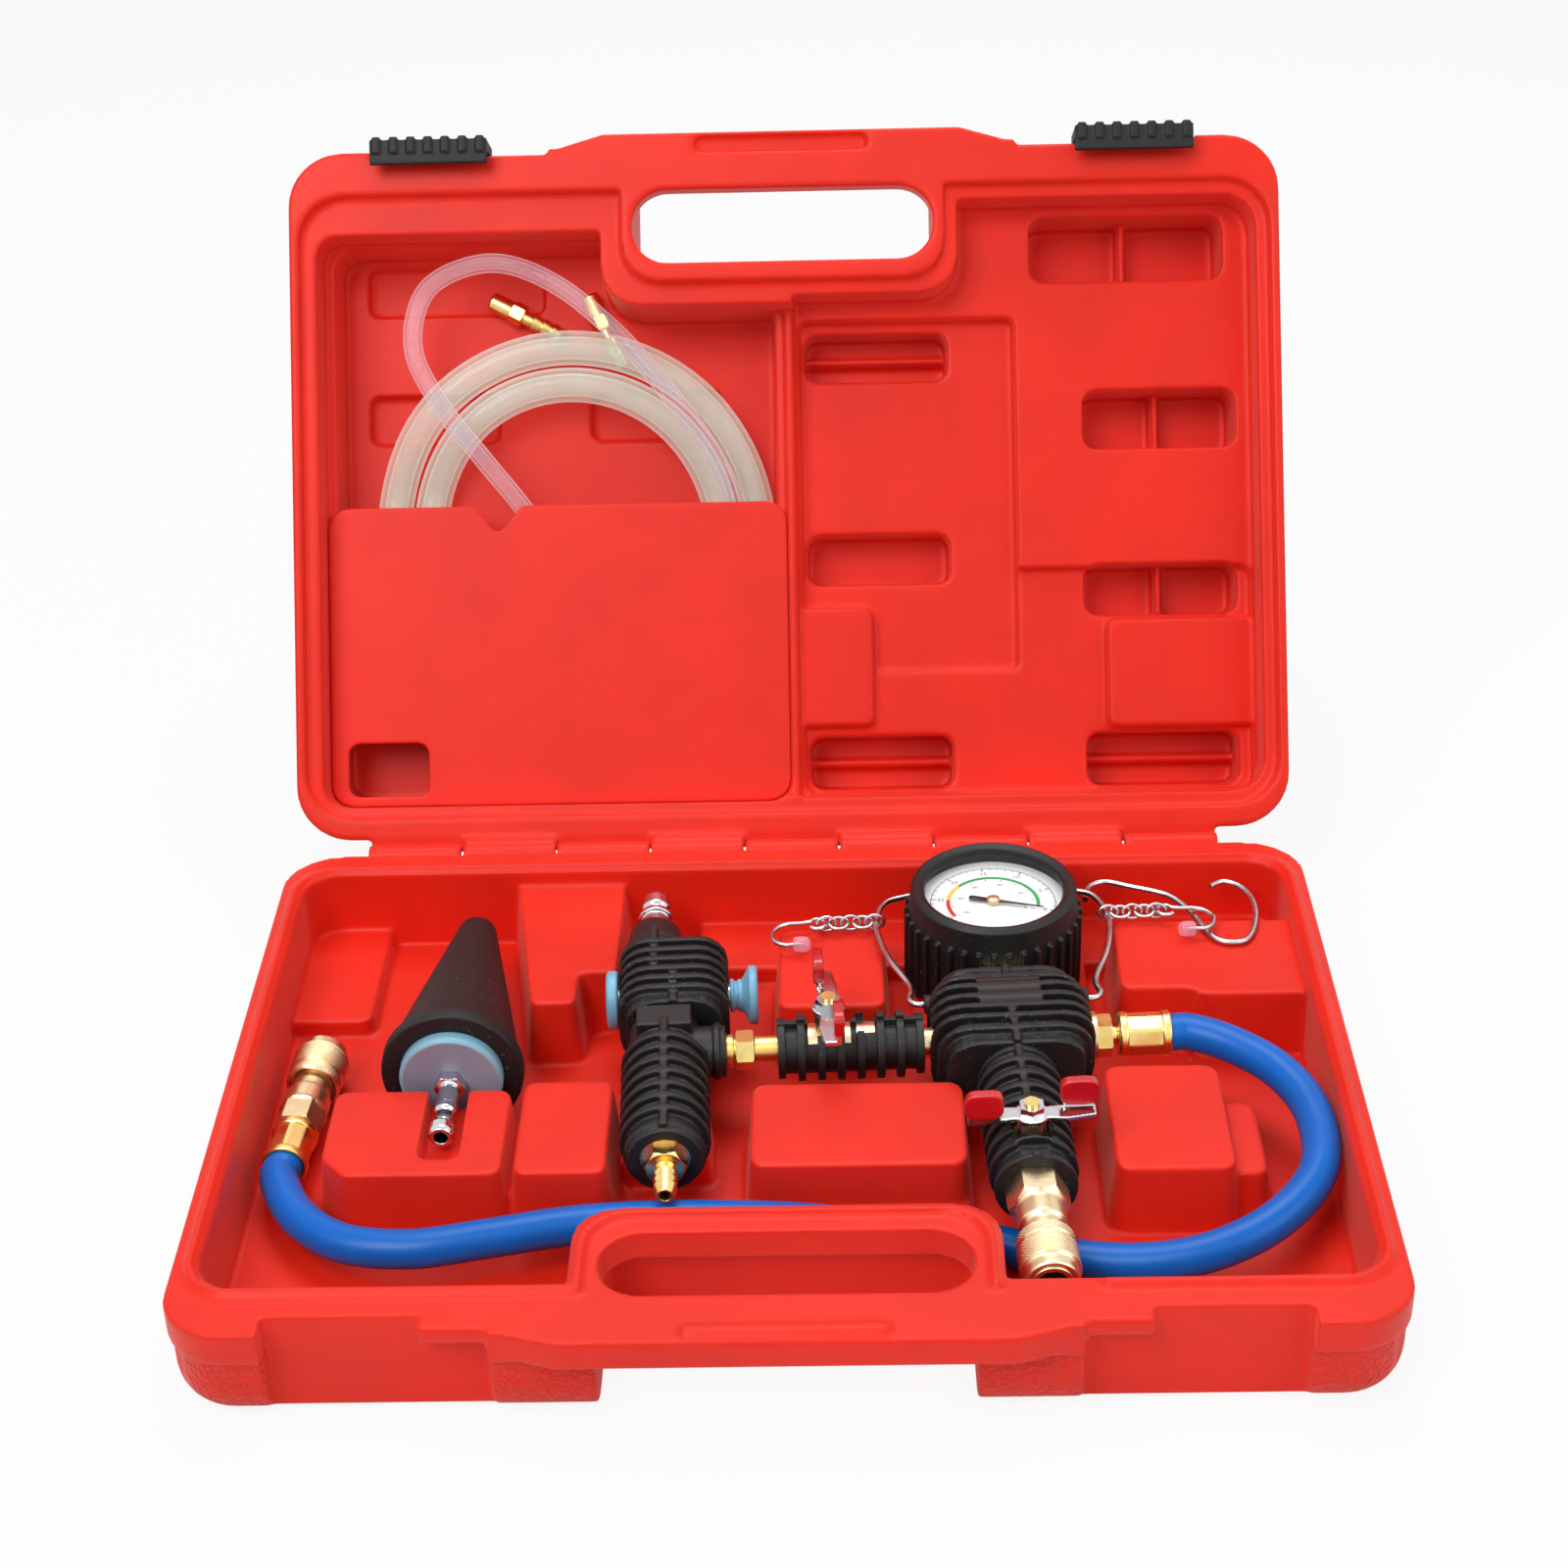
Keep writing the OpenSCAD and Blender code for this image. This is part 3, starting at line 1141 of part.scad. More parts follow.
module suction_hose() { color([0.85, 0.9, 0.82, 0.6]) opened() tube(coil_points, clear_r, 6); }

thin_low = panel_face + panel_t + seat + 0.3 + thin_r;
thin_high = coil_high - clear_r - thin_r - 0.6;
thin_route = [[-72, 62, 0], [-76, 76, 0], [-82, 92, 0], [-97, 120, 0], [-113, 141, 0.55],
    [-129, 162, 1], [-139, 184, 1], [-133, 206, 1], [-110, 215, 1], [-86, 207, 1], [-62, 187, 1],
    [-42, 163, 1], [-27, 141, 0.55], [-19, 120, 0], [-20, 88, 0], [-36, 52, 0], [-70, 34, 0],
    [-84, 32, 0], [-98, 32, 0]];
thin_points = [for (p = thin_route) lid_point(p[0], p[1], thin_low + (thin_high - thin_low)*p[2])];
module thin_hose() { color([0.95, 0.85, 0.9, 0.6]) opened() tube(smooth(thin_points, 2), thin_r, 8); }

adapter_r = 4.4;
adapter_af = adapter_r*sqrt(3);
adapter_deep = hose_deep - seat - adapter_af/2;
module adapter() {
    difference() {
        union() {
            yturn([[0, -15], [2.8, -15], [3.6, -11], [2.8, -11], [3.6, -7], [2.8, -7], [3.6, -3], [2.8, -3],
                [2.8, 1], [3.4, 5], [3.8, 5], [3.8, 15], [0, 15]]);
            yhex(adapter_af, 1, 6);
        }
        ycyl(1.8, -20, 20);
    }
}
module hose_adapters() {
    color([0.91, 0.75, 0.31]) opened() {
        translate(lid_point(-99, 198, adapter_deep)) rotate([0, 0, 118]) adapter();
        translate(lid_point(-68.5, 192.5, adapter_deep)) rotate([0, 0, 155]) adapter();
    }
}

case_base();
tray_shelves();
tray_plateaus();
case_lid();
pouch_panel();
hinge_pin();
latch_left();
latch_right();
manifold_cover();
manifold_body();
link_nipple();
valve1_cover();
valve1_body();
valve1_ball();
valve1_stem();
valve1_handle();
valve1_grips();
valve1_nut();
valve2_cover();
valve2_body();
valve2_ball();
valve2_stem();
valve2_handle();
valve2_grips();
valve2_nut();
venturi_upper_cover();
venturi_lower_cover();
venturi_body();
venturi_jet();
air_plug();
air_spool();
spool_caps();
exhaust_barb();
gauge_boot();
gauge_case();
gauge_dial();
gauge_pointer();
gauge_lens();
gauge_stem();
gauge_tube();
outlet_body();
outlet_sleeve();
hose_fitting();
ferrule_right();
blue_hose();
ferrule_left();
hose_coupler();
hose_coupler_sleeve();
wire_bail();
chains();
chain_hooks();
hook_tips();
hanger_wire();
cone_rubber();
cone_plate();
cone_nipple();
suction_hose();
thin_hose();
hose_adapters();
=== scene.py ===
"""Looks of the coolant vacuum filler kit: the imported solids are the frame, and the pieces here dress it."""
import json
import math

import bmesh
import bpy
import numpy as np
from mathutils import Matrix


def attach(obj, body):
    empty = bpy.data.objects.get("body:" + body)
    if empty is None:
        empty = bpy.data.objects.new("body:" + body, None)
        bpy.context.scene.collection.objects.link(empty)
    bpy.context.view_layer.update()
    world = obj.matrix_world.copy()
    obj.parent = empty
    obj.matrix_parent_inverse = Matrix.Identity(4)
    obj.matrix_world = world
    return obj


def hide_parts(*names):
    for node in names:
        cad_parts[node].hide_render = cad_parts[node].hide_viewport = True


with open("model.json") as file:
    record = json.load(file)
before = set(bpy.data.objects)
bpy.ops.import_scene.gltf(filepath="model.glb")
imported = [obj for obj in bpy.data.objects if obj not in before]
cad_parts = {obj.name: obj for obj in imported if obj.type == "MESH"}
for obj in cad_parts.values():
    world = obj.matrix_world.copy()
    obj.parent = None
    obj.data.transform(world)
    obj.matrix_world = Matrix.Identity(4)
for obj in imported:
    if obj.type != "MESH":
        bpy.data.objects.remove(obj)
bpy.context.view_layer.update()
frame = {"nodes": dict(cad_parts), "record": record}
nodes = frame["nodes"]

# Sizes that the route and the turned pieces share with the part's source, in millimetres
MM = 0.001
BACK = 127.0
LID_Z0 = 36.3
AXIS_Y = 133.0
AXIS_Z = 31.7
LID_OPEN = 122.0
FLOOR_T = 5.5
SEAT = 0.3
FIT = 0.05
KIT = (73.0, 18.0, 30.0)
KIT_YAW = 2.5
MAN_W = 54.0
EAR_Y = 16.0
EAR_Z = 4.0
WIRE_R = 1.1
GAUGE_Y = 61.0
GAUGE_TOP = 21.0
GAUGE_R = 27.5
BOOT_R = GAUGE_R + FIT + 1.6
FIN_H = 2.2
DIAL_TOP = GAUGE_TOP - 9 + 0.8
NEEDLE_REST = 107.0
HOSE_R = 6.2
FERRULE_R = HOSE_R + 0.9
FIT_X0 = MAN_W/2 + 1 + FIT
SLEEVE_R = 9.4
SLEEVE_L = 18.0
SLEEVE_Y = 24.0
COUPLER_END = SLEEVE_Y + SLEEVE_L + 1.5
OUT_Y = -77.0 - FIT
LEFT = (-158.5, 36.0, FLOOR_T + SEAT + SLEEVE_R)
LEFT_TURN = -4.0
CLEAR_R = 6.5
THIN_R = 3.6
HOSE_DEEP = 42.0
PANEL_BACK = 20.5
PLATEAU = 30.0
TRAY_X = 174.0
BAND_H = 11.0
BASE_H = 36.0
VENT_X = -114.0
VENT_W = 37.0
BLOCK_OFF = 3.0
PLUG_X = VENT_X - 3.5
PLUG_Y = 66.35
SPOOL_Y = 31.0
BARB_Y = -55.05
CONE_X = -110.5
CONE_Y = 4.0
CONE_R = 23.5
CONE_L = 84.0
PLATE_R = 17.0
CHAIN_X = 40.0
CHAIN_Y = EAR_Y + 50
LINKS = 5
LINK_STEP = 4.2
LINK_OUT = 0.9
EYE_R = 3.0


# Places

def turn_z(degrees):
    """Rotation about Z as a 4 by 4 array."""
    a = math.radians(degrees)
    m = np.eye(4)
    m[0, 0] = m[1, 1] = math.cos(a)
    m[1, 0] = math.sin(a)
    m[0, 1] = -math.sin(a)
    return m


def move(x, y, z):
    """Translation as a 4 by 4 array."""
    m = np.eye(4)
    m[:3, 3] = x, y, z
    return m


def lid_turn():
    """Closed lid to open lid: rotation by minus the opening angle about the hinge's X axis."""
    a = math.radians(-LID_OPEN)
    m = np.eye(4)
    m[1, 1] = m[2, 2] = math.cos(a)
    m[2, 1] = math.sin(a)
    m[1, 2] = -math.sin(a)
    return move(0, AXIS_Y, AXIS_Z) @ m @ move(0, -AXIS_Y, -AXIS_Z)


IN_KIT = move(*KIT) @ turn_z(KIT_YAW)
IN_GAUGE = IN_KIT @ move(0, GAUGE_Y, 0)
IN_LID = lid_turn()
AT_LEFT = move(*LEFT) @ turn_z(LEFT_TURN)
LEFT_FLIP = AT_LEFT @ turn_z(180) @ move(0, COUPLER_END, 0)
ALONG_X = np.array([[0, 0, 1.0, 0], [1, 0, 0, 0], [0, 1, 0, 0], [0, 0, 0, 1]])
ALONG_Y = np.array([[1.0, 0, 0, 0], [0, 0, 1, 0], [0, -1, 0, 0], [0, 0, 0, 1]])
FLIP_X = np.diag([-1.0, 1, 1, 1])
AT_CONE = move(CONE_X, CONE_Y, FLOOR_T + SEAT + CONE_R)


def placed(points, matrix):
    """Points times a 4 by 4 array."""
    return np.asarray(points, float) @ matrix[:3, :3].T + matrix[:3, 3]


# Surfaces

def grid_faces(rows, cols, wrap_rows=False, wrap_cols=False):
    """Quads between neighbouring rows and columns of a grid of points, as one index array."""
    i = np.arange(rows if wrap_rows else rows - 1)[:, None]
    j = np.arange(cols if wrap_cols else cols - 1)[None, :]
    i2 = (i + 1) % rows
    j2 = (j + 1) % cols
    quads = np.stack(np.broadcast_arrays(i*cols + j, i*cols + j2, i2*cols + j2, i2*cols + j), -1)
    return quads.reshape(-1, 4)


def new_piece(name, points, faces, body, slot, material, crease=None):
    """Object at the origin from points in millimetres; edges sharper than crease degrees stay sharp."""
    mesh = bpy.data.meshes.new(name)
    mesh.from_pydata((np.asarray(points)*MM).tolist(), [], [list(map(int, f)) for f in faces])
    mesh.validate()
    finish_mesh(mesh, crease)
    return add_piece(name, mesh, body, material)


def finish_mesh(mesh, crease=None):
    """Merges doubled points, turns the faces outwards, shades smooth and marks the sharp edges."""
    bm = bmesh.new()
    bm.from_mesh(mesh)
    bmesh.ops.remove_doubles(bm, verts=bm.verts, dist=1e-6)
    bmesh.ops.recalc_face_normals(bm, faces=bm.faces)
    for f in bm.faces:
        f.smooth = True
    if crease is not None:
        limit = math.radians(crease)
        for e in bm.edges:
            e.smooth = len(e.link_faces) == 2 and e.calc_face_angle(0) < limit
    bm.to_mesh(mesh)
    bm.free()


def add_piece(name, mesh, body, material):
    """Object for a finished mesh, riding on a body and material."""
    obj = bpy.data.objects.new(name, mesh)
    bpy.context.scene.collection.objects.link(obj)
    mesh.materials.clear()
    mesh.materials.append(material)
    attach(obj, body)
    return obj


def turned(profile, matrix, steps=64, ripple=None, loop=False):
    """Surface of revolution: profile pairs (radius, place) carried round the axis, with a ripple that may
    change the radius by angle and place; a loop joins the profile's ends. Returns points and faces; the
    axis is local Z."""
    p = np.asarray(profile, float)
    a = np.linspace(0, 2*np.pi, steps, endpoint=False)
    radius = np.repeat(p[:, :1], steps, 1)
    place = np.repeat(p[:, 1:], steps, 1)
    if ripple is not None:
        radius = radius + ripple(a[None, :], place, radius)
    pts = np.stack([radius*np.cos(a), radius*np.sin(a), place], -1).reshape(-1, 3)
    return placed(pts, matrix), grid_faces(len(p), steps, wrap_rows=loop, wrap_cols=True)


def rounded_profile(corners, r, k=5):
    """Profile line with every inner corner replaced by an arc of radius r, or less where a side is short."""
    p = np.asarray(corners, float)
    out = [p[:1]]
    for a, b, c in zip(p[:-2], p[1:-1], p[2:]):
        u, v = a - b, c - b
        lu, lv = np.linalg.norm(u), np.linalg.norm(v)
        reach = min(r, 0.45*lu, 0.45*lv)
        t = np.linspace(0, 1, k)[:, None]
        s, e = b + u/lu*reach, b + v/lv*reach
        out.append((1 - t)**2*s + 2*t*(1 - t)*b + t**2*e)
    out.append(p[-1:])
    return np.concatenate(out)


def lathe(outline, r, matrix, steps=72, ripple=None, step=None):
    """Turned ring: a closed outline of radius and place, its corners rounded by r, carried round the axis."""
    p = np.asarray(outline, float)
    middle = (p[-1:] + p[:1])/2
    line = rounded_profile(np.concatenate([middle, p, middle]), r)
    if step is not None:
        line = dense(line, step)
    return turned(line[:-1], matrix, steps, ripple, loop=True)


def flats(sides, across, low, high):
    """Ripple that cuts flats between two places: the radius is held to half the width across flats over the
    cosine of the angle from the nearest flat's middle."""
    half = math.pi/sides

    def ripple(a, place, radius):
        reach = across/2/np.cos(a % (2*half) - half)
        inside = (place > low) & (place < high)
        return np.where(inside, np.minimum(0.0, reach - radius), 0.0)
    return ripple


def knurl(count, depth, bands, above):
    """Ripple of crossed diagonal grooves: the depth times the square of the larger of two triangle waves that
    wind opposite ways, faded near the ends of each band, on radii above a limit."""
    def ripple(a, place, radius):
        turn = a*count/(2*math.pi)
        climb = place/1.2
        wave = np.maximum(1 - 2*np.abs((turn + climb) % 1 - 0.5), 1 - 2*np.abs((turn - climb) % 1 - 0.5))
        fade = sum(np.clip(np.minimum(place - low, high - place)/0.3, 0, 1) for low, high in bands)
        return -depth*fade*wave**2*(radius > above)
    return ripple


def dense(profile, step):
    """Profile line cut into steps no longer than step."""
    p = np.asarray(profile, float)
    parts = [np.linspace(a, b, max(1, int(np.linalg.norm(b - a)/step)), endpoint=False)
             for a, b in zip(p[:-1], p[1:])]
    return np.concatenate(parts + [p[-1:]])


def smooth_line(p, k):
    """Round line through points p with k steps a span, the same curve as in the part's source:
    half of (2b + (c - a)t + (2a - 5b + 4c - d)t^2 + (3b - a - 3c + d)t^3)."""
    p = np.asarray(p, float)
    n = len(p)
    i = np.arange(n - 1)
    a, b, c, d = p[np.maximum(i - 1, 0)], p[i], p[i + 1], p[np.minimum(i + 2, n - 1)]
    t = (np.arange(k)/k)[None, :, None]
    a, b, c, d = (q[:, None, :] for q in (a, b, c, d))
    line = 0.5*(2*b + (c - a)*t + (2*a - 5*b + 4*c - d)*t**2 + (3*b - a - 3*c + d)*t**3)
    return np.concatenate([line.reshape(-1, 3), p[-1:]])


def swept(line, radius, sides=20, closed=False, up=(0, 0, 1)):
    """Round section of the given radius carried along a line, its frame built from the line's own heading
    and a fixed up direction. Returns points and faces, with the ends capped by fans."""
    line = np.asarray(line, float)
    n = len(line)
    if closed:
        head = np.roll(line, -1, 0) - np.roll(line, 1, 0)
    else:
        head = np.gradient(line, axis=0)
    head /= np.linalg.norm(head, axis=1)[:, None]
    side = np.cross(head, np.asarray(up, float))
    side /= np.linalg.norm(side, axis=1)[:, None]
    rise = np.cross(side, head)
    a = np.linspace(0, 2*np.pi, sides, endpoint=False)
    r = np.broadcast_to(np.asarray(radius, float), (n,))[:, None, None]
    ring = np.cos(a)[None, :, None]*side[:, None, :] + np.sin(a)[None, :, None]*rise[:, None, :]
    pts = (line[:, None, :] + r*ring).reshape(-1, 3)
    faces = grid_faces(n, sides, wrap_rows=closed, wrap_cols=True).tolist()
    if not closed:
        faces.append(list(range(sides)))
        faces.append(list(range((n - 1)*sides, n*sides)))
    return pts, faces


def joined(*shapes):
    """Several point and face lists as one."""
    pts, faces, start = [], [], 0
    for p, f in shapes:
        pts.append(np.asarray(p))
        faces += [[i + start for i in q] for q in (f.tolist() if hasattr(f, "tolist") else f)]
        start += len(p)
    return np.concatenate(pts), faces


def moulded(node, body, material, voxel, rounds, keep, closed_lid=False, also=()):
    """Stand-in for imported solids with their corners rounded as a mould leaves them: the merged copy of the
    node, and of the nodes of the same moulding in also, is rebuilt on a fine lattice, relaxed and thinned.
    Lid pieces are rebuilt as they lie when closed."""
    mesh = bpy.data.meshes.new("rough_" + node)
    bm = bmesh.new()
    for name in (node, *also):
        bm.from_mesh(nodes[name].data)
    bmesh.ops.remove_doubles(bm, verts=bm.verts, dist=2e-6)
    bm.to_mesh(mesh)
    bm.free()
    there = Matrix((IN_LID*np.array([[1, 1, 1, MM]]*3 + [[1, 1, 1, 1]])).tolist())
    if closed_lid:
        mesh.transform(there.inverted())
    rough = bpy.data.objects.new("rough_" + node, mesh)
    bpy.context.scene.collection.objects.link(rough)
    lattice = rough.modifiers.new("lattice", "REMESH")
    lattice.mode = "VOXEL"
    lattice.voxel_size = voxel*MM
    relax = rough.modifiers.new("relax", "SMOOTH")
    relax.factor = 0.5
    relax.iterations = rounds
    thin = rough.modifiers.new("thin", "DECIMATE")
    thin.ratio = keep
    bpy.context.view_layer.update()
    graph = bpy.context.evaluated_depsgraph_get()
    done = bpy.data.meshes.new_from_object(rough.evaluated_get(graph))
    bpy.data.objects.remove(rough)
    if closed_lid:
        done.transform(there)
    done.name = node + "_moulded"
    done.polygons.foreach_set("use_smooth", np.ones(len(done.polygons), bool))
    obj = add_piece(node + "_moulded", done, body, material)
    even = obj.modifiers.new("even", "WEIGHTED_NORMAL")
    even.weight = 90
    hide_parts(node, *also)
    return obj


# Shader groups

def new_group(name, inputs, outputs):
    """Empty shader node group with named sockets; returns the group, its input and its output node."""
    group = bpy.data.node_groups.new(name, "ShaderNodeTree")
    for label, kind, value in inputs:
        socket = group.interface.new_socket(label, in_out="INPUT", socket_type=kind)
        if value is not None:
            socket.default_value = value
    for label, kind in outputs:
        group.interface.new_socket(label, in_out="OUTPUT", socket_type=kind)
    return group, group.nodes.new("NodeGroupInput"), group.nodes.new("NodeGroupOutput")


def math_node(tree, kind, a, b=None):
    """Math node with numbers or sockets as its inputs; returns the output socket."""
    n = tree.nodes.new("ShaderNodeMath")
    n.operation = kind
    for i, v in enumerate((a, b)):
        if v is None:
            continue
        if isinstance(v, (int, float)):
            n.inputs[i].default_value = v
        else:
            tree.links.new(v, n.inputs[i])
    return n.outputs[0]


def ramp(tree, value, low, high, out_low=0.0, out_high=1.0):
    """Smooth step of a value from low to high."""
    n = tree.nodes.new("ShaderNodeMapRange")
    n.interpolation_type = "SMOOTHSTEP"
    tree.links.new(value, n.inputs["Value"])
    n.inputs["From Min"].default_value = low
    n.inputs["From Max"].default_value = high
    n.inputs["To Min"].default_value = out_low
    n.inputs["To Max"].default_value = out_high
    return n.outputs["Result"]


def noise(tree, vector, scale, detail=2.0):
    """Noise texture of a number or socket scale; returns its value socket."""
    n = tree.nodes.new("ShaderNodeTexNoise")
    tree.links.new(vector, n.inputs["Vector"])
    if isinstance(scale, (int, float)):
        n.inputs["Scale"].default_value = scale
    else:
        tree.links.new(scale, n.inputs["Scale"])
    n.inputs["Detail"].default_value = detail
    return n.outputs["Fac"]


def grain_group():
    """Skin of a moulded or cast piece: a fine grain for the bump, slow patches for tone, scattered dust."""
    group, start, end = new_group("skin_grain", [("Vector", "NodeSocketVector", None),
                                                ("Scale", "NodeSocketFloat", 2500.0)],
                                  [("Height", "NodeSocketFloat"), ("Patch", "NodeSocketFloat"),
                                   ("Dust", "NodeSocketFloat")])
    vector = start.outputs["Vector"]
    fine = noise(group, vector, start.outputs["Scale"], 3.0)
    patch = ramp(group, noise(group, vector, 28.0, 3.0), 0.3, 0.7)
    speck = ramp(group, noise(group, vector, 900.0, 1.0), 0.66, 0.74)
    where = ramp(group, noise(group, vector, 60.0, 2.0), 0.45, 0.65)
    group.links.new(fine, end.inputs["Height"])
    group.links.new(patch, end.inputs["Patch"])
    group.links.new(math_node(group, "MULTIPLY", speck, where), end.inputs["Dust"])
    return group


def lathe_group():
    """Fine rings that a cutting tool leaves across a turned piece's axis, broken up by noise."""
    group, start, end = new_group("lathe_marks", [("Vector", "NodeSocketVector", None),
                                                 ("Scale", "NodeSocketFloat", 1500.0)],
                                  [("Height", "NodeSocketFloat"), ("Patch", "NodeSocketFloat")])
    stretch = group.nodes.new("ShaderNodeVectorMath")
    stretch.operation = "MULTIPLY"
    stretch.inputs[1].default_value = (0.03, 1.0, 0.03)
    group.links.new(start.outputs["Vector"], stretch.inputs[0])
    rings = noise(group, stretch.outputs[0], start.outputs["Scale"], 2.0)
    group.links.new(rings, end.inputs["Height"])
    group.links.new(ramp(group, noise(group, start.outputs["Vector"], 120.0, 3.0), 0.35, 0.7),
                    end.inputs["Patch"])
    return group


GRAIN = grain_group()
LATHE = lathe_group()


# Materials

def srgb(r, g, b):
    """Screen colour in 0 to 255 as linear light."""
    c = np.array([r, g, b])/255.0
    lin = np.where(c <= 0.04045, c/12.92, ((c + 0.055)/1.055)**2.4)
    return (*lin.tolist(), 1.0)


def shade(colour, factor):
    """Colour made lighter or darker by a factor."""
    return (*[min(1.0, c*factor) for c in colour[:3]], 1.0)


def base_material(name):
    """Material with an Object coordinate node and a Principled shader."""
    mat = bpy.data.materials.new(name)
    mat.use_nodes = True
    tree = mat.node_tree
    tree.nodes.clear()
    out = tree.nodes.new("ShaderNodeOutputMaterial")
    bsdf = tree.nodes.new("ShaderNodeBsdfPrincipled")
    tree.links.new(bsdf.outputs[0], out.inputs["Surface"])
    coord = tree.nodes.new("ShaderNodeTexCoord")
    return mat, tree, bsdf, coord.outputs["Object"]


def mixed(tree, mask, first, second):
    """Colour mix by a mask."""
    n = tree.nodes.new("ShaderNodeMix")
    n.data_type = "RGBA"
    tree.links.new(mask, n.inputs["Factor"])
    for socket, v in ((n.inputs["A"], first), (n.inputs["B"], second)):
        if isinstance(v, tuple):
            socket.default_value = v
        else:
            tree.links.new(v, socket)
    return n.outputs["Result"]


def bump(tree, bsdf, height, distance, strength=1.0, before=None):
    """Bump from a height into the shader's normal, on top of an earlier normal where one is given."""
    n = tree.nodes.new("ShaderNodeBump")
    n.inputs["Strength"].default_value = strength
    n.inputs["Distance"].default_value = distance
    tree.links.new(height, n.inputs["Height"])
    if before is not None:
        tree.links.new(before, n.inputs["Normal"])
    tree.links.new(n.outputs[0], bsdf.inputs["Normal"])
    return n.outputs[0]


def skin_material(name, colour, rough, grain=2500.0, depth=0.00004, dust=None, spread=0.12, **constants):
    """Moulded plastic or rubber: tone patches in the colour, grain in the bump and roughness, dust specks."""
    mat, tree, bsdf, vector = base_material(name)
    skin = tree.nodes.new("ShaderNodeGroup")
    skin.node_tree = GRAIN
    skin.inputs["Scale"].default_value = grain
    tree.links.new(vector, skin.inputs["Vector"])
    tone = mixed(tree, skin.outputs["Patch"], shade(colour, 1 - spread), shade(colour, 1 + spread*0.6))
    if dust is not None:
        tone = mixed(tree, skin.outputs["Dust"], tone, dust)
    tree.links.new(tone, bsdf.inputs["Base Color"])
    tree.links.new(ramp(tree, skin.outputs["Height"], 0.2, 0.8, rough - 0.06, rough + 0.06),
                   bsdf.inputs["Roughness"])
    bump(tree, bsdf, skin.outputs["Height"], depth)
    for socket, value in constants.items():
        bsdf.inputs[socket.replace("_", " ")].default_value = value
    return mat


def metal_material(name, colour, rough, marks=1500.0, depth=0.000012, tarnish=None, along_x=False):
    """Machined metal: lathe rings in the bump, patches of duller tone in the colour and roughness."""
    mat, tree, bsdf, vector = base_material(name)
    turn = tree.nodes.new("ShaderNodeMapping")
    turn.inputs["Rotation"].default_value = (0, 0, math.radians(90 - KIT_YAW if along_x else -KIT_YAW))
    tree.links.new(vector, turn.inputs["Vector"])
    lathe = tree.nodes.new("ShaderNodeGroup")
    lathe.node_tree = LATHE
    lathe.inputs["Scale"].default_value = marks
    tree.links.new(turn.outputs[0], lathe.inputs["Vector"])
    tree.links.new(mixed(tree, lathe.outputs["Patch"], colour, tarnish or shade(colour, 0.8)),
                   bsdf.inputs["Base Color"])
    tree.links.new(ramp(tree, lathe.outputs["Patch"], 0.0, 1.0, rough, rough + 0.1), bsdf.inputs["Roughness"])
    bsdf.inputs["Metallic"].default_value = 1.0
    bump(tree, bsdf, lathe.outputs["Height"], depth)
    return mat


def clear_material(name, middle_tone, edge_tone, rough, middle, edge, glow):
    """Soft clear tube: its middle lets more of what is behind through than its pale edges, with faint cloudy
    patches, a waxy skin and a painted glow of its own tone that stands in for the light scattering inside the
    wall."""
    mat, tree, bsdf, vector = base_material(name)
    cloud = ramp(tree, noise(tree, vector, 60.0, 2.0), 0.35, 0.7)
    facing = tree.nodes.new("ShaderNodeLayerWeight")
    facing.inputs["Blend"].default_value = 0.35
    rim = ramp(tree, facing.outputs["Facing"], 0.15, 0.8)
    tone = mixed(tree, rim, middle_tone, edge_tone)
    tree.links.new(tone, bsdf.inputs["Base Color"])
    # Painted glow: the tube's tone is sent out as emission, paler and brighter at the edges, in place of
    # light scattered in the wall
    tree.links.new(tone, bsdf.inputs["Emission Color"])
    bsdf.inputs["Emission Strength"].default_value = glow
    tree.links.new(ramp(tree, cloud, 0, 1, rough, rough + 0.06), bsdf.inputs["Roughness"])
    cover = ramp(tree, facing.outputs["Facing"], 0.1, 0.85, middle, edge)
    tree.links.new(math_node(tree, "ADD", cover, math_node(tree, "MULTIPLY", cloud, 0.03)),
                   bsdf.inputs["Alpha"])
    bsdf.inputs["Specular IOR Level"].default_value = 0.8
    bump(tree, bsdf, noise(tree, vector, 45.0, 1.0), 0.0003)
    return mat


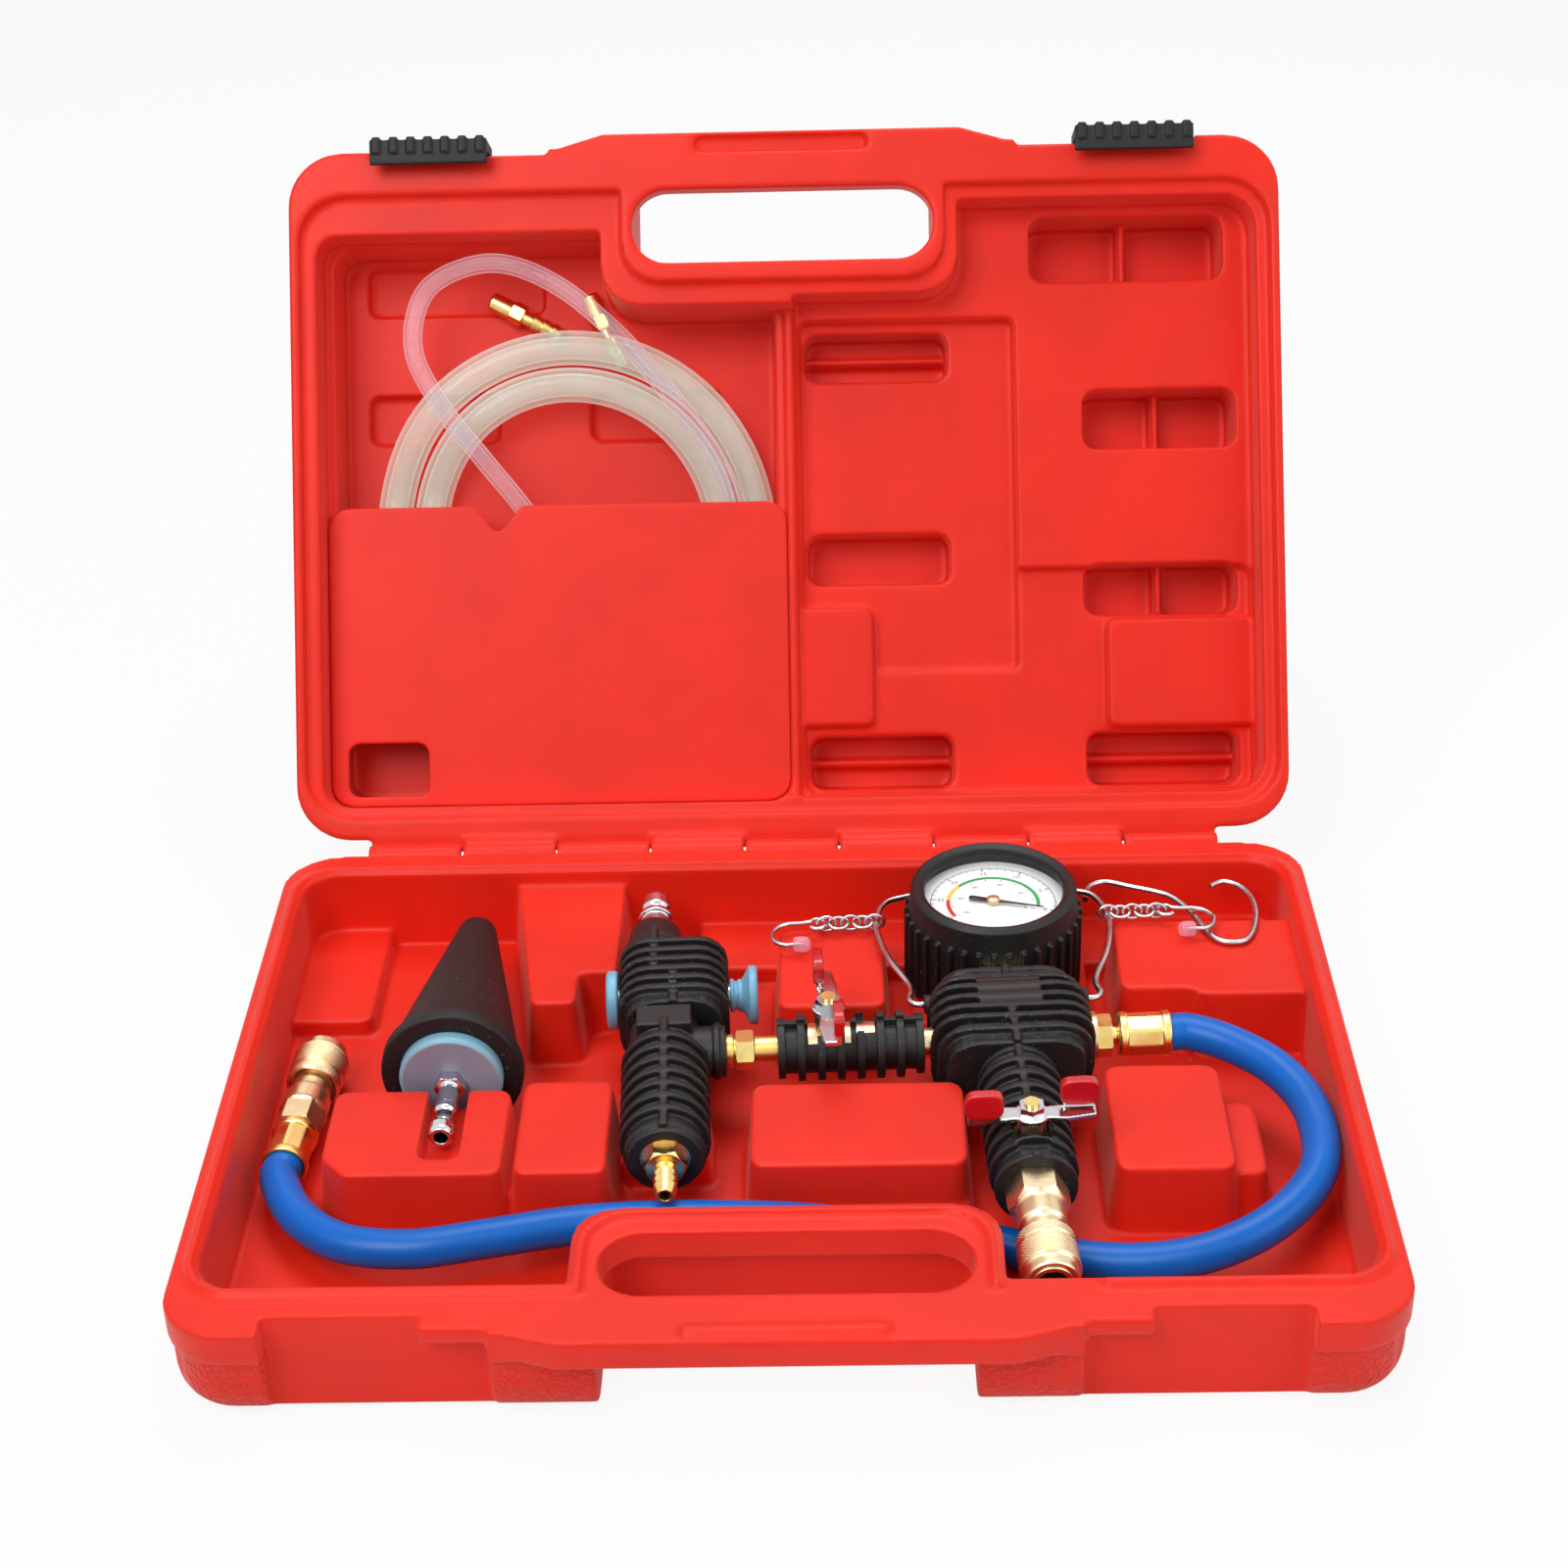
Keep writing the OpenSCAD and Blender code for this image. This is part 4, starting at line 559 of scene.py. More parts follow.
def case_material(name, lid):
    """Red blow-moulded case: satin skin and slow patches; below the band under the rim the outer walls carry
    a pebbled grip texture, found from the place in the closed case."""
    colour = srgb(232, 36, 14)
    mat, tree, bsdf, vector = base_material(name)
    skin = tree.nodes.new("ShaderNodeGroup")
    skin.node_tree = GRAIN
    skin.inputs["Scale"].default_value = 1800.0
    tree.links.new(vector, skin.inputs["Vector"])
    tone = mixed(tree, skin.outputs["Patch"], shade(colour, 0.94), shade(colour, 1.05))
    tree.links.new(tone, bsdf.inputs["Base Color"])
    tree.links.new(ramp(tree, skin.outputs["Height"], 0.2, 0.8, 0.38, 0.5), bsdf.inputs["Roughness"])
    bsdf.inputs["Specular IOR Level"].default_value = 0.28
    bsdf.inputs["Sheen Weight"].default_value = 0.12
    bsdf.inputs["Sheen Roughness"].default_value = 0.5
    bsdf.inputs["Sheen Tint"].default_value = (1.0, 0.82, 0.7, 1.0)
    fine = bump(tree, bsdf, skin.outputs["Height"], 0.00005)
    back = Matrix(np.linalg.inv(IN_LID).tolist())
    place = tree.nodes.new("ShaderNodeMapping")
    if lid:
        place.inputs["Rotation"].default_value = back.to_euler()
        place.inputs["Location"].default_value = back.to_translation()*MM
    tree.links.new(vector, place.inputs["Vector"])
    axes = tree.nodes.new("ShaderNodeSeparateXYZ")
    tree.links.new(place.outputs[0], axes.inputs[0])
    side = ramp(tree, math_node(tree, "ABSOLUTE", axes.outputs["X"]), 0.1775, 0.1785)
    front = ramp(tree, math_node(tree, "MULTIPLY", axes.outputs["Y"], -1.0), 0.1195, 0.1205)
    rear = ramp(tree, axes.outputs["Y"], 0.1225, 0.1235)
    outer = math_node(tree, "MAXIMUM", side, math_node(tree, "MAXIMUM", front, rear))
    if lid:
        away = ramp(tree, axes.outputs["Z"], (LID_Z0 + BAND_H)*MM, (LID_Z0 + BAND_H + 1)*MM)
    else:
        away = ramp(tree, axes.outputs["Z"], (BASE_H - BAND_H - 1.6)*MM, (BASE_H - BAND_H - 0.6)*MM, 1.0, 0.0)
    cells = tree.nodes.new("ShaderNodeTexVoronoi")
    cells.inputs["Scale"].default_value = 620.0
    tree.links.new(place.outputs[0], cells.inputs["Vector"])
    pebble = math_node(tree, "MULTIPLY", math_node(tree, "MULTIPLY", outer, away), cells.outputs["Distance"])
    bump(tree, bsdf, pebble, 0.0009, 1.0, fine)
    return mat


RED = case_material("case_red_base", False)
LID_RED = case_material("case_red_lid", True)
LATCH = skin_material("latch_grey_plastic", srgb(29, 29, 31), 0.5, dust=srgb(72, 73, 75),
                      Specular_IOR_Level=0.25)
COVER = skin_material("black_rubber_cover", srgb(20, 20, 21), 0.5, grain=1600.0, depth=0.00007,
                      dust=srgb(90, 90, 92), Specular_IOR_Level=0.42)
BOOT = skin_material("black_gauge_boot", srgb(22, 22, 23), 0.48, grain=1800.0, depth=0.00006,
                     dust=srgb(80, 80, 82), Specular_IOR_Level=0.38)
CONE = skin_material("cone_black_rubber", srgb(20, 16, 17), 0.55, grain=1500.0, depth=0.00006,
                     dust=srgb(84, 80, 78), Specular_IOR_Level=0.34)
CAPS = skin_material("push_cap_blue", srgb(126, 186, 218), 0.38, depth=0.00003)
GRIPS = skin_material("dipped_red_vinyl", srgb(206, 14, 26), 0.25, depth=0.00002, Coat_Weight=0.4)
BLUE = skin_material("blue_hose_skin", srgb(0, 102, 198), 0.34, grain=2200.0, depth=0.00003, spread=0.08,
                     Specular_IOR_Level=0.28)
DIAL = skin_material("dial_white_print", srgb(242, 242, 240), 0.5, depth=0.00001, spread=0.02)
INK = skin_material("dial_black_ink", srgb(24, 24, 26), 0.5, depth=0.00001)
INK_GREEN = skin_material("dial_green_ink", srgb(38, 158, 92), 0.5, depth=0.00001)
INK_YELLOW = skin_material("dial_yellow_ink", srgb(240, 190, 40), 0.5, depth=0.00001)
INK_RED = skin_material("dial_red_ink", srgb(216, 34, 36), 0.5, depth=0.00001)
GAUGE_CASE = skin_material("gauge_case_black", srgb(38, 38, 40), 0.4, depth=0.00003)
PALE = metal_material("champagne_brass", srgb(238, 216, 176), 0.26, tarnish=srgb(218, 190, 146))
BRIGHT = metal_material("bright_brass", srgb(242, 218, 142), 0.2, tarnish=srgb(224, 192, 112), along_x=True)
GOLD = metal_material("ferrule_brass", srgb(246, 220, 144), 0.24, tarnish=srgb(232, 198, 118), along_x=True)
CHROME = metal_material("polished_plating", srgb(214, 214, 218), 0.08, depth=0.000004,
                        tarnish=srgb(200, 200, 204))
STEEL = metal_material("steel_wire", srgb(196, 196, 200), 0.2, depth=0.000008, tarnish=srgb(176, 176, 180))
# The last number of each clear material is the strength of its painted glow
HOSE = clear_material("clear_hose", srgb(222, 242, 226), srgb(248, 254, 248), 0.12, 0.19, 0.68, 0.16)
THIN = clear_material("thin_clear_hose", srgb(248, 226, 238), srgb(255, 248, 252), 0.08, 0.08, 0.62, 0.1)


def glass_material():
    mat, tree, bsdf, vector = base_material("gauge_glass")
    tree.links.new(mixed(tree, noise(tree, vector, 200.0), srgb(255, 255, 255), srgb(246, 250, 252)),
                   bsdf.inputs["Base Color"])
    bsdf.inputs["Roughness"].default_value = 0.03
    bsdf.inputs["Transmission Weight"].default_value = 1.0
    bsdf.inputs["IOR"].default_value = 1.15
    return mat


def plate_material():
    """Cone's plate: one pale blue plastic, with painted shade turning the face dull grey-blue inside the
    paler blue rim, split by the distance from the axis.
    """
    mat, tree, bsdf, vector = base_material("cone_plate_painted_shade")
    centre = tree.nodes.new("ShaderNodeMapping")
    centre.inputs["Location"].default_value = (-CONE_X*MM, 0, -AT_CONE[2, 3]*MM)
    centre.inputs["Scale"].default_value = (1, 0, 1)
    tree.links.new(vector, centre.inputs["Vector"])
    reach = tree.nodes.new("ShaderNodeVectorMath")
    reach.operation = "LENGTH"
    tree.links.new(centre.outputs[0], reach.inputs[0])
    rim = ramp(tree, reach.outputs["Value"], (PLATE_R - 1.5)*MM, (PLATE_R - 1.1)*MM)
    skin = tree.nodes.new("ShaderNodeGroup")
    skin.node_tree = GRAIN
    tree.links.new(vector, skin.inputs["Vector"])
    # Painted shade: the face's grey-blue is the rim's blue plastic darkened as if in shadow, with random tone
    # patches
    shaded_face = mixed(tree, skin.outputs["Patch"], srgb(128, 134, 156), srgb(146, 152, 172))
    tree.links.new(mixed(tree, rim, shaded_face, srgb(136, 186, 208)), bsdf.inputs["Base Color"])
    tree.links.new(ramp(tree, skin.outputs["Height"], 0.2, 0.8, 0.38, 0.5), bsdf.inputs["Roughness"])
    bump(tree, bsdf, skin.outputs["Height"], 0.00003)
    return mat


PLATE = plate_material()
GLASS = glass_material()
SLOT_MATERIALS = {"case_red": RED, "latch_grey": LATCH, "steel": STEEL, "cover_black": COVER,
                  "brass_pale": PALE, "brass_bright": BRIGHT, "chrome": CHROME, "grip_red": GRIPS,
                  "cap_blue": CAPS, "cone_black": CONE, "plate_grey": PLATE, "hose_blue": BLUE,
                  "hose_clear": HOSE, "hose_thin": THIN, "dial_white": DIAL, "lens": GLASS,
                  "gauge_black": GAUGE_CASE}
for part in frame["record"]["subparts"]:
    slots = nodes[part["node"]].data.materials
    slots.clear()
    slots.append(SLOT_MATERIALS[part["material_slot"]])


# Camera, light and floor

def camera():
    """Camera at the place and turn worked out from the case's straight edges."""
    pitch, yaw, roll = math.radians(31.382), math.radians(-1.426), math.radians(1.699)
    ahead = np.array([math.sin(yaw)*math.cos(pitch), math.cos(yaw)*math.cos(pitch), -math.sin(pitch)])
    right = np.array([math.cos(yaw), -math.sin(yaw), 0.0])
    down = np.cross(ahead, right)
    across = math.cos(roll)*right + math.sin(roll)*down
    below = -math.sin(roll)*right + math.cos(roll)*down
    m = np.eye(4)
    m[:3, 0], m[:3, 1], m[:3, 2] = across, -below, -ahead
    m[:3, 3] = 0.019219, -0.727997, 0.585315
    data = bpy.data.cameras.new("camera")
    data.lens = 64.303
    data.sensor_width = 36.0
    obj = bpy.data.objects.new("camera", data)
    obj.matrix_world = Matrix(m.tolist())
    bpy.context.scene.collection.objects.link(obj)
    bpy.context.scene.camera = obj


def soft_light(name, place, aim, size, watts):
    """Square area light at a place, turned to a point."""
    data = bpy.data.lights.new(name, "AREA")
    data.size = size
    data.energy = watts
    obj = bpy.data.objects.new(name, data)
    way = np.asarray(place) - np.asarray(aim)
    way = way/np.linalg.norm(way)
    side = np.cross((0.0, 0.0, 1.0), way)
    side = side/np.linalg.norm(side)
    m = np.eye(4)
    m[:3, 0], m[:3, 1], m[:3, 2], m[:3, 3] = side, np.cross(way, side), way, place
    obj.matrix_world = Matrix(m.tolist())
    bpy.context.scene.collection.objects.link(obj)


def white_world():
    """Even studio light, with plain white where the camera, a reflection or clear plastic sees past the
    part."""
    world = bpy.data.worlds.new("studio")
    bpy.context.scene.world = world
    world.use_nodes = True
    tree = world.node_tree
    tree.nodes.clear()
    out = tree.nodes.new("ShaderNodeOutputWorld")
    fill = tree.nodes.new("ShaderNodeBackground")
    fill.inputs["Strength"].default_value = 0.2
    seen = tree.nodes.new("ShaderNodeBackground")
    seen.inputs["Color"].default_value = (1, 1, 1, 1)
    seen.inputs["Strength"].default_value = 1.0
    fill.inputs["Color"].default_value = (1, 1, 1, 1)
    ray = tree.nodes.new("ShaderNodeLightPath")
    first = math_node(tree, "MAXIMUM", ray.outputs["Is Camera Ray"], ray.outputs["Is Transmission Ray"])
    first = math_node(tree, "MAXIMUM", first, ray.outputs["Is Glossy Ray"])
    mix = tree.nodes.new("ShaderNodeMixShader")
    tree.links.new(first, mix.inputs["Fac"])
    tree.links.new(fill.outputs[0], mix.inputs[1])
    tree.links.new(seen.outputs[0], mix.inputs[2])
    tree.links.new(mix.outputs[0], out.inputs["Surface"])


def floor():
    """Pale round floor that glows towards the camera, so that only the part's shadow shows on it."""
    mat = bpy.data.materials.new("pale_floor")
    mat.use_nodes = True
    tree = mat.node_tree
    tree.nodes.clear()
    out = tree.nodes.new("ShaderNodeOutputMaterial")
    matt = tree.nodes.new("ShaderNodeBsdfDiffuse")
    matt.inputs["Color"].default_value = (0.82, 0.82, 0.82, 1)
    glow = tree.nodes.new("ShaderNodeEmission")
    glow.inputs["Strength"].default_value = 1.0
    ray = tree.nodes.new("ShaderNodeLightPath")
    mix = tree.nodes.new("ShaderNodeMixShader")
    first = math_node(tree, "MAXIMUM", ray.outputs["Is Camera Ray"], ray.outputs["Is Transmission Ray"])
    tree.links.new(math_node(tree, "MULTIPLY", first, 0.9), mix.inputs["Fac"])
    tree.links.new(matt.outputs[0], mix.inputs[1])
    tree.links.new(glow.outputs[0], mix.inputs[2])
    tree.links.new(mix.outputs[0], out.inputs["Surface"])
    a = np.linspace(0, 2*np.pi, 96, endpoint=False)
    pts = np.stack([6*np.cos(a), 6*np.sin(a), np.full(96, -0.0006)], 1)
    mesh = bpy.data.meshes.new("floor")
    mesh.from_pydata(pts.tolist(), [], [list(range(96))])
    mesh.materials.append(mat)
    obj = bpy.data.objects.new("floor", mesh)
    bpy.context.scene.collection.objects.link(obj)


camera()
soft_light("key", (-0.7, -0.9, 1.5), (0, 0.05, 0.05), 1.0, 20.0)
soft_light("fill", (1.1, -0.7, 0.9), (0, 0.05, 0.08), 1.2, 6.5)
soft_light("top", (0.05, 0.6, 1.6), (0, 0.0, 0.0), 1.0, 13.0)
white_world()
floor()
bpy.context.scene.view_settings.view_transform = "Standard"


# Hoses

def kit_point(x, y, z):
    return placed([[x, y, z]], IN_KIT)[0]


def left_point(y):
    return placed([[0, -y, 0]], AT_LEFT)[0]


def lid_points(route):
    """Rows of across, up from the hinge edge and depth in the closed lid, as points of the open lid."""
    r = np.asarray(route, float)
    return placed(np.stack([r[:, 0], BACK - r[:, 1], LID_Z0 + r[:, 2]], 1), IN_LID)


def hollow(line, outer, inner, sides=24, up=(0, 0, 1)):
    """Tube with a bore: the outer wall, the inner wall and a ring at each end."""
    out_pts, _ = swept(line, outer, sides, up=up)
    in_pts, _ = swept(line, inner, sides, up=up)
    n = len(line)
    faces = grid_faces(n, sides, wrap_cols=True).tolist()
    inner_faces = (grid_faces(n, sides, wrap_cols=True)[:, ::-1] + n*sides).tolist()
    j = np.arange(sides)
    k = (j + 1) % sides
    last = (n - 1)*sides
    first_ring = np.stack([j, j + n*sides, k + n*sides, k], 1).tolist()
    last_ring = np.stack([j + last, k + last, k + last + n*sides, j + last + n*sides], 1).tolist()
    return np.concatenate([out_pts, in_pts]), faces + inner_faces + first_ring + last_ring


def hose_line():
    """Route of the blue hose from the manifold, round the right side, along the front to the left coupler."""
    middle = [[144, 15, 29.5], [157, 3, 29], [165, -12, 28], [167.5, -29, 27], [165, -46, 26], [156, -60, 24],
              [142, -70, 20.5], [124, -75, 16.5], [104, -74.5, 13.5], [82, -70, 12.5], [58, -63, 13],
              [30, -60, 15], [0, -58.5, 18], [-36, -57.5, 18.5], [-66, -60, 19], [-92, -65.5, 19],
              [-116, -69.5, 18.5], [-138, -65, 17.5], [-154, -51, 16.5]]
    steps = [0, 7, 14, 21]
    start = [kit_point(FIT_X0 + 10.2 + d, 0, 0) for d in steps]
    end = [left_point(COUPLER_END + 3.2 + d) for d in steps[::-1]]
    return smooth_line(np.array(start + middle + end), 10)


blue_line = hose_line()
blue_hose = new_piece("blue_hose_smooth", *swept(blue_line, HOSE_R, 28), "base", "hose_blue", BLUE, 60)
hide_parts("blue_hose")


def coil_line():
    """Thick clear hose: a flat coil whose radius grows by 14 mm a turn, its upper half lifted off the
    floor."""
    turns, start, radius, pitch = 2.05, -28.0, 46.0, 14.0
    low = HOSE_DEEP - SEAT - CLEAR_R
    t = np.linspace(0, turns, 200)
    a = np.radians(start - 360*t)
    r = radius + pitch*t
    v = 115 + r*np.sin(a)
    s = np.clip((v - 128)/40, 0, 1)
    return lid_points(np.stack([-84 + r*np.cos(a), v, low - 9.7*s*s*(3 - 2*s)], 1))


coil = coil_line()
suction_hose = new_piece("suction_hose_clear", *hollow(coil, CLEAR_R, 4.3, 24, IN_LID[:3, 2]), "lid",
                         "hose_clear", HOSE, 60)
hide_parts("suction_hose")


def thin_line():
    """Thin clear hose: from behind the panel up over the coil and down behind the panel again."""
    low = PANEL_BACK + SEAT + 0.3 + THIN_R
    high = HOSE_DEEP - SEAT - CLEAR_R - 9.7 - CLEAR_R - THIN_R - 0.6
    route = np.array([[-72, 62, 0], [-76, 76, 0], [-82, 92, 0], [-97, 120, 0], [-113, 141, 0.55],
                      [-129, 162, 1], [-139, 184, 1], [-133, 206, 1], [-110, 215, 1], [-86, 207, 1],
                      [-62, 187, 1], [-42, 163, 1], [-27, 141, 0.55], [-19, 120, 0], [-20, 88, 0],
                      [-36, 52, 0], [-70, 34, 0], [-84, 32, 0], [-98, 32, 0]])
    route[:, 2] = low + (high - low)*route[:, 2]
    return smooth_line(lid_points(route), 12)


thin = thin_line()
thin_hose = new_piece("thin_hose_clear", *hollow(thin, THIN_R, 2.2, 20, IN_LID[:3, 2]), "lid", "hose_thin",
                      THIN, 60)
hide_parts("thin_hose")


# Moulded pieces

moulded("case_base", "base", RED, 0.9, 6, 0.25, also=("tray_shelves", "tray_plateaus"))
moulded("case_lid", "lid", LID_RED, 0.9, 6, 0.23, closed_lid=True)
moulded("pouch_panel", "lid", LID_RED, 0.6, 4, 0.25, closed_lid=True)
moulded("latch_left", "left_latch", LATCH, 0.4, 3, 0.4, closed_lid=True)
moulded("latch_right", "right_latch", LATCH, 0.4, 3, 0.4, closed_lid=True)
for cover in ("manifold_cover", "valve2_cover", "venturi_lower_cover", "venturi_upper_cover"):
    moulded(cover, "base", COVER, 0.4, 4, 0.3)
# The small valve's cover has walls too thin for the others' lattice
moulded("valve1_cover", "base", COVER, 0.12, 4, 0.1)
moulded("gauge_boot", "base", BOOT, 0.42, 3, 0.35)
for valve, body in (("valve1", "small_valve"), ("valve2", "outlet_valve")):
    moulded(valve + "_handle", body, CHROME, 0.3, 4, 0.4)
    moulded(valve + "_grips", body, GRIPS, 0.3, 5, 0.4)
    # Plated nut and brass stem end, as they show in the photo
    nodes[valve + "_nut"].data.materials[0] = CHROME
    nodes[valve + "_stem"].data.materials[0] = BRIGHT


# Turned pieces

def stand_in(node, shape, body, slot, material, crease=38):
    """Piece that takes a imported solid's place in the picture."""
    obj = new_piece(node + "_turned", *shape, body, slot, material, crease)
    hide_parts(node)
    return obj


def coupler_body(across, matrix):
    """Quick coupler's body: hexagon, plain shank, and the spigot inside the sleeve."""
    corner = across/math.sqrt(3)
    outline = [(4.6, -COUPLER_END), (6.4, -COUPLER_END), (6.4, -19), (7.6, -18), (7.6, -11),
               (min(corner, 7.9), -10.4), (corner, -8.8), (corner, 0), (4, 0), (4, -SLEEVE_Y),
               (4.6, -SLEEVE_Y)]
    return lathe(outline, 0.6, matrix @ ALONG_Y, 96, flats(6, across, -9.6, 0.1), 0.5)


def coupler_sleeve(matrix):
    """Quick coupler's sliding sleeve: a narrow and a wide knurled band, a groove between, and a collar."""
    outline = [(8.2, 0), (9.1, -0.7), (9.1, -3.8), (8.4, -4.3), (8.4, -5.2), (9.4, -5.8), (9.4, -14.2),
               (8.5, -14.9), (8.2, -15.4), (8.2, -18.4), (7.7, -19), (6.5, -19), (6.5, -2.1), (7.9, -2),
               (7.9, 0)]
    grooves = knurl(44, 0.3, [(-3.9, -0.6), (-14.3, -5.7)], 8.9)
    return lathe(outline, 0.35, matrix @ move(0, -SLEEVE_Y, 0) @ ALONG_Y, 264, grooves, 0.22)


def ferrule(matrix):
    """Crimped ferrule: a collar at each end and eight flats between them."""
    r = FERRULE_R
    outline = [(2.6, 0), (r - 0.5, 0), (r + 0.5, 0.9), (r + 0.5, 2.8), (r + 0.1, 3.3), (r + 0.1, 14.5),
               (r + 0.5, 15), (r + 0.5, 17.1), (r + 0.1, 17.5), (HOSE_R + FIT, 17.5), (HOSE_R + FIT, 3),
               (2.6, 3)]
    return lathe(outline, 0.35, matrix @ ALONG_X, 96, flats(8, 2*r - 0.6, 3.2, 14.6), 0.4)


AT_OUTLET = IN_KIT @ move(0, OUT_Y, 0)
stand_in("outlet_body", coupler_body(17, AT_OUTLET), "base", "brass_pale", PALE)
stand_in("outlet_sleeve", coupler_sleeve(AT_OUTLET), "front_sleeve", "brass_pale", PALE)
stand_in("hose_coupler", coupler_body(14, LEFT_FLIP), "base", "brass_pale", PALE)
stand_in("hose_coupler_sleeve", coupler_sleeve(LEFT_FLIP), "left_sleeve", "brass_pale", PALE)
stand_in("ferrule_right", ferrule(IN_KIT @ move(FIT_X0 + 7, 0, 0)), "base", "brass_bright", GOLD)
stand_in("ferrule_left", ferrule(LEFT_FLIP @ turn_z(90) @ move(FIT, 0, 0)), "base", "brass_bright", GOLD)
fitting_line = [(2.5, 0), (7.22, 0), (7.22, 5), (3.2, 5), (3.2, 7), (2.5, 7)]
stand_in("hose_fitting", lathe(fitting_line, 0.5, IN_KIT @ move(FIT_X0, 0, 0) @ ALONG_X, 96,
                               flats(6, 12.5, -0.1, 5.1), 0.4), "base", "brass_bright", BRIGHT)
nipple_line = [(2.9, 0), (5.6, 0), (5.6, 2.4), (4.7, 2.6), (4.7, 3.1), (6.64, 3.3), (6.64, 9), (4.6, 9.3),
               (4.6, 17.4), (2.9, 17.4)]
stand_in("link_nipple", lathe(nipple_line, 0.45, IN_KIT @ move(VENT_X + 20.05, 0, 0) @ ALONG_X, 96,
                              flats(6, 11.5, 3, 9.2), 0.4), "base", "brass_bright", BRIGHT)
barb_line = [(1.8, 0), (6.93, 0), (6.93, -4), (6.0, -5), (3.4, -5.3), (3.2, -8), (3.9, -8.1), (2.9, -11),
             (3.9, -11.1), (2.9, -14), (3.9, -14.1), (2.6, -18), (1.8, -18)]
stand_in("exhaust_barb", lathe(barb_line, 0.3, IN_KIT @ move(VENT_X, BARB_Y, 0) @ ALONG_Y, 96,
                               flats(6, 12, -5.2, 0.1), 0.4), "base", "brass_bright", BRIGHT)
plug_line = [(2.5, FIT), (6.2, FIT), (6.2, 4), (5.2, 5), (5.2, 10), (6.4, 10.4), (6.4, 12.6), (4.2, 13.5),
             (4.2, 15.5), (5.4, 17), (5.4, 22), (4.6, 24), (2.5, 24)]
stand_in("air_plug", lathe(plug_line, 0.5, IN_KIT @ move(PLUG_X, PLUG_Y, 0) @ ALONG_Y), "base", "chrome",
         CHROME)


def spool_caps():
    """Push caps at the air valve's ends: a plain disc on the left, a waisted, flared button on the right."""
    w = VENT_W/2
    at = IN_KIT @ move(VENT_X + BLOCK_OFF, SPOOL_Y, 0) @ ALONG_X
    disc = [(0, -w - 4.35), (9, -w - 4.35), (10, -w - 3.4), (10, -w - 0.9), (9.4, -w - 0.35), (0, -w - 0.35)]
    button = [(4.05, w + 0.35), (5.6, w + 0.35), (5.8, w + 1.4), (4.9, w + 2.1), (4.9, w + 2.7),
              (5.6, w + 3.3), (5.4, w + 4.4), (8.4, w + 6.2), (10, w + 7), (10, w + 9), (9.2, w + 9.85),
              (0, w + 9.2), (0, w + 6.4), (4.05, w + 6.4)]
    return joined(turned(rounded_profile(disc, 0.6), at), lathe(button, 0.5, at))


stand_in("spool_caps", spool_caps(), "air_valve", "cap_blue", CAPS)
cone_line = [(PLATE_R + FIT, 2), (PLATE_R + FIT, 0), (CONE_R - 0.2, 0), (CONE_R, 5.2), (CONE_R - 1.6, 6.4),
             (6.5, CONE_L - 1.2), (5, CONE_L), (4.05, CONE_L), (4.05, 2)]
stand_in("cone_rubber", lathe(cone_line, 1.0, AT_CONE @ ALONG_Y, 96, None, 2.0), "base", "cone_black",
         CONE, 60)
plate_line = [(4.05, -4), (PLATE_R - 1.3, -4), (PLATE_R, -2.8), (PLATE_R, 1.95), (4.05, 1.95)]
stand_in("cone_plate", lathe(plate_line, 0.5, AT_CONE @ ALONG_Y, 96), "base", "plate_grey", PLATE)
stub_line = [(2.3, -33), (3.5, -33), (4.2, -31.6), (4.2, -28), (3.4, -26), (3.1, -24.5), (3.1, -21.5),
             (3.8, -20.5), (3.8, -18), (3.4, -17.4), (3.4, -8.6), (4.3, -8.2), (5.2, -8), (5.2, -4.05),
             (4, -4.05), (4, 16), (2.3, 16)]
stand_in("cone_nipple", lathe(stub_line, 0.4, AT_CONE @ ALONG_Y, 96, flats(6, 9, -8.3, -4), 0.4), "base",
         "chrome", CHROME)


def adapter(u, v, turn):
    """Brass hose adapter: three barbs, a hexagon and a plain stub."""
    outline = [(1.8, -15), (2.8, -15), (3.6, -11.3), (2.8, -11), (3.6, -7.3), (2.8, -7), (3.6, -3.3),
               (2.8, -3), (2.8, 0.8), (4.4, 1), (4.4, 6), (3.8, 6.2), (3.8, 14.3), (3.3, 15), (1.8, 15)]
    deep = HOSE_DEEP - SEAT - 2.2*math.sqrt(3)
    at = IN_LID @ move(u, BACK - v, LID_Z0 + deep) @ turn_z(turn) @ ALONG_Y
    return lathe(outline, 0.25, at, 72, flats(6, 4.4*math.sqrt(3), 0.9, 6.1), 0.4)


stand_in("hose_adapters", joined(adapter(-99, 198, 118), adapter(-68.5, 192.5, 155)), "lid", "brass_bright",
         BRIGHT)


# Wires, chains and hooks

def wire(node, line, radius, body, material, sides=12):
    obj = new_piece(node + "_round", *swept(line, radius, sides), body, "steel", material, 60)
    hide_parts(node)


def bail_line():
    """Hanging wire: out of one ear, round the gauge and into the other ear."""
    half = np.array([[MAN_W/2 - 5, EAR_Y], [MAN_W/2 - 1, EAR_Y], [MAN_W/2 + 3, EAR_Y], [32, EAR_Y + 3],
                     [31.5, EAR_Y + 11], [37, EAR_Y + 26], [40, EAR_Y + 40], [40, EAR_Y + 52],
                     [36, EAR_Y + 62]])
    a = np.radians(15 + 25*np.arange(1, 6))
    r = BOOT_R + FIN_H + WIRE_R + 0.8
    far = np.stack([r*np.cos(a), GAUGE_Y + r*np.sin(a)], 1)
    flat = np.concatenate([half, far, half[::-1]*[-1, 1]])
    return smooth_line(placed(np.column_stack([flat, np.full(len(flat), EAR_Z)]), IN_KIT), 8)


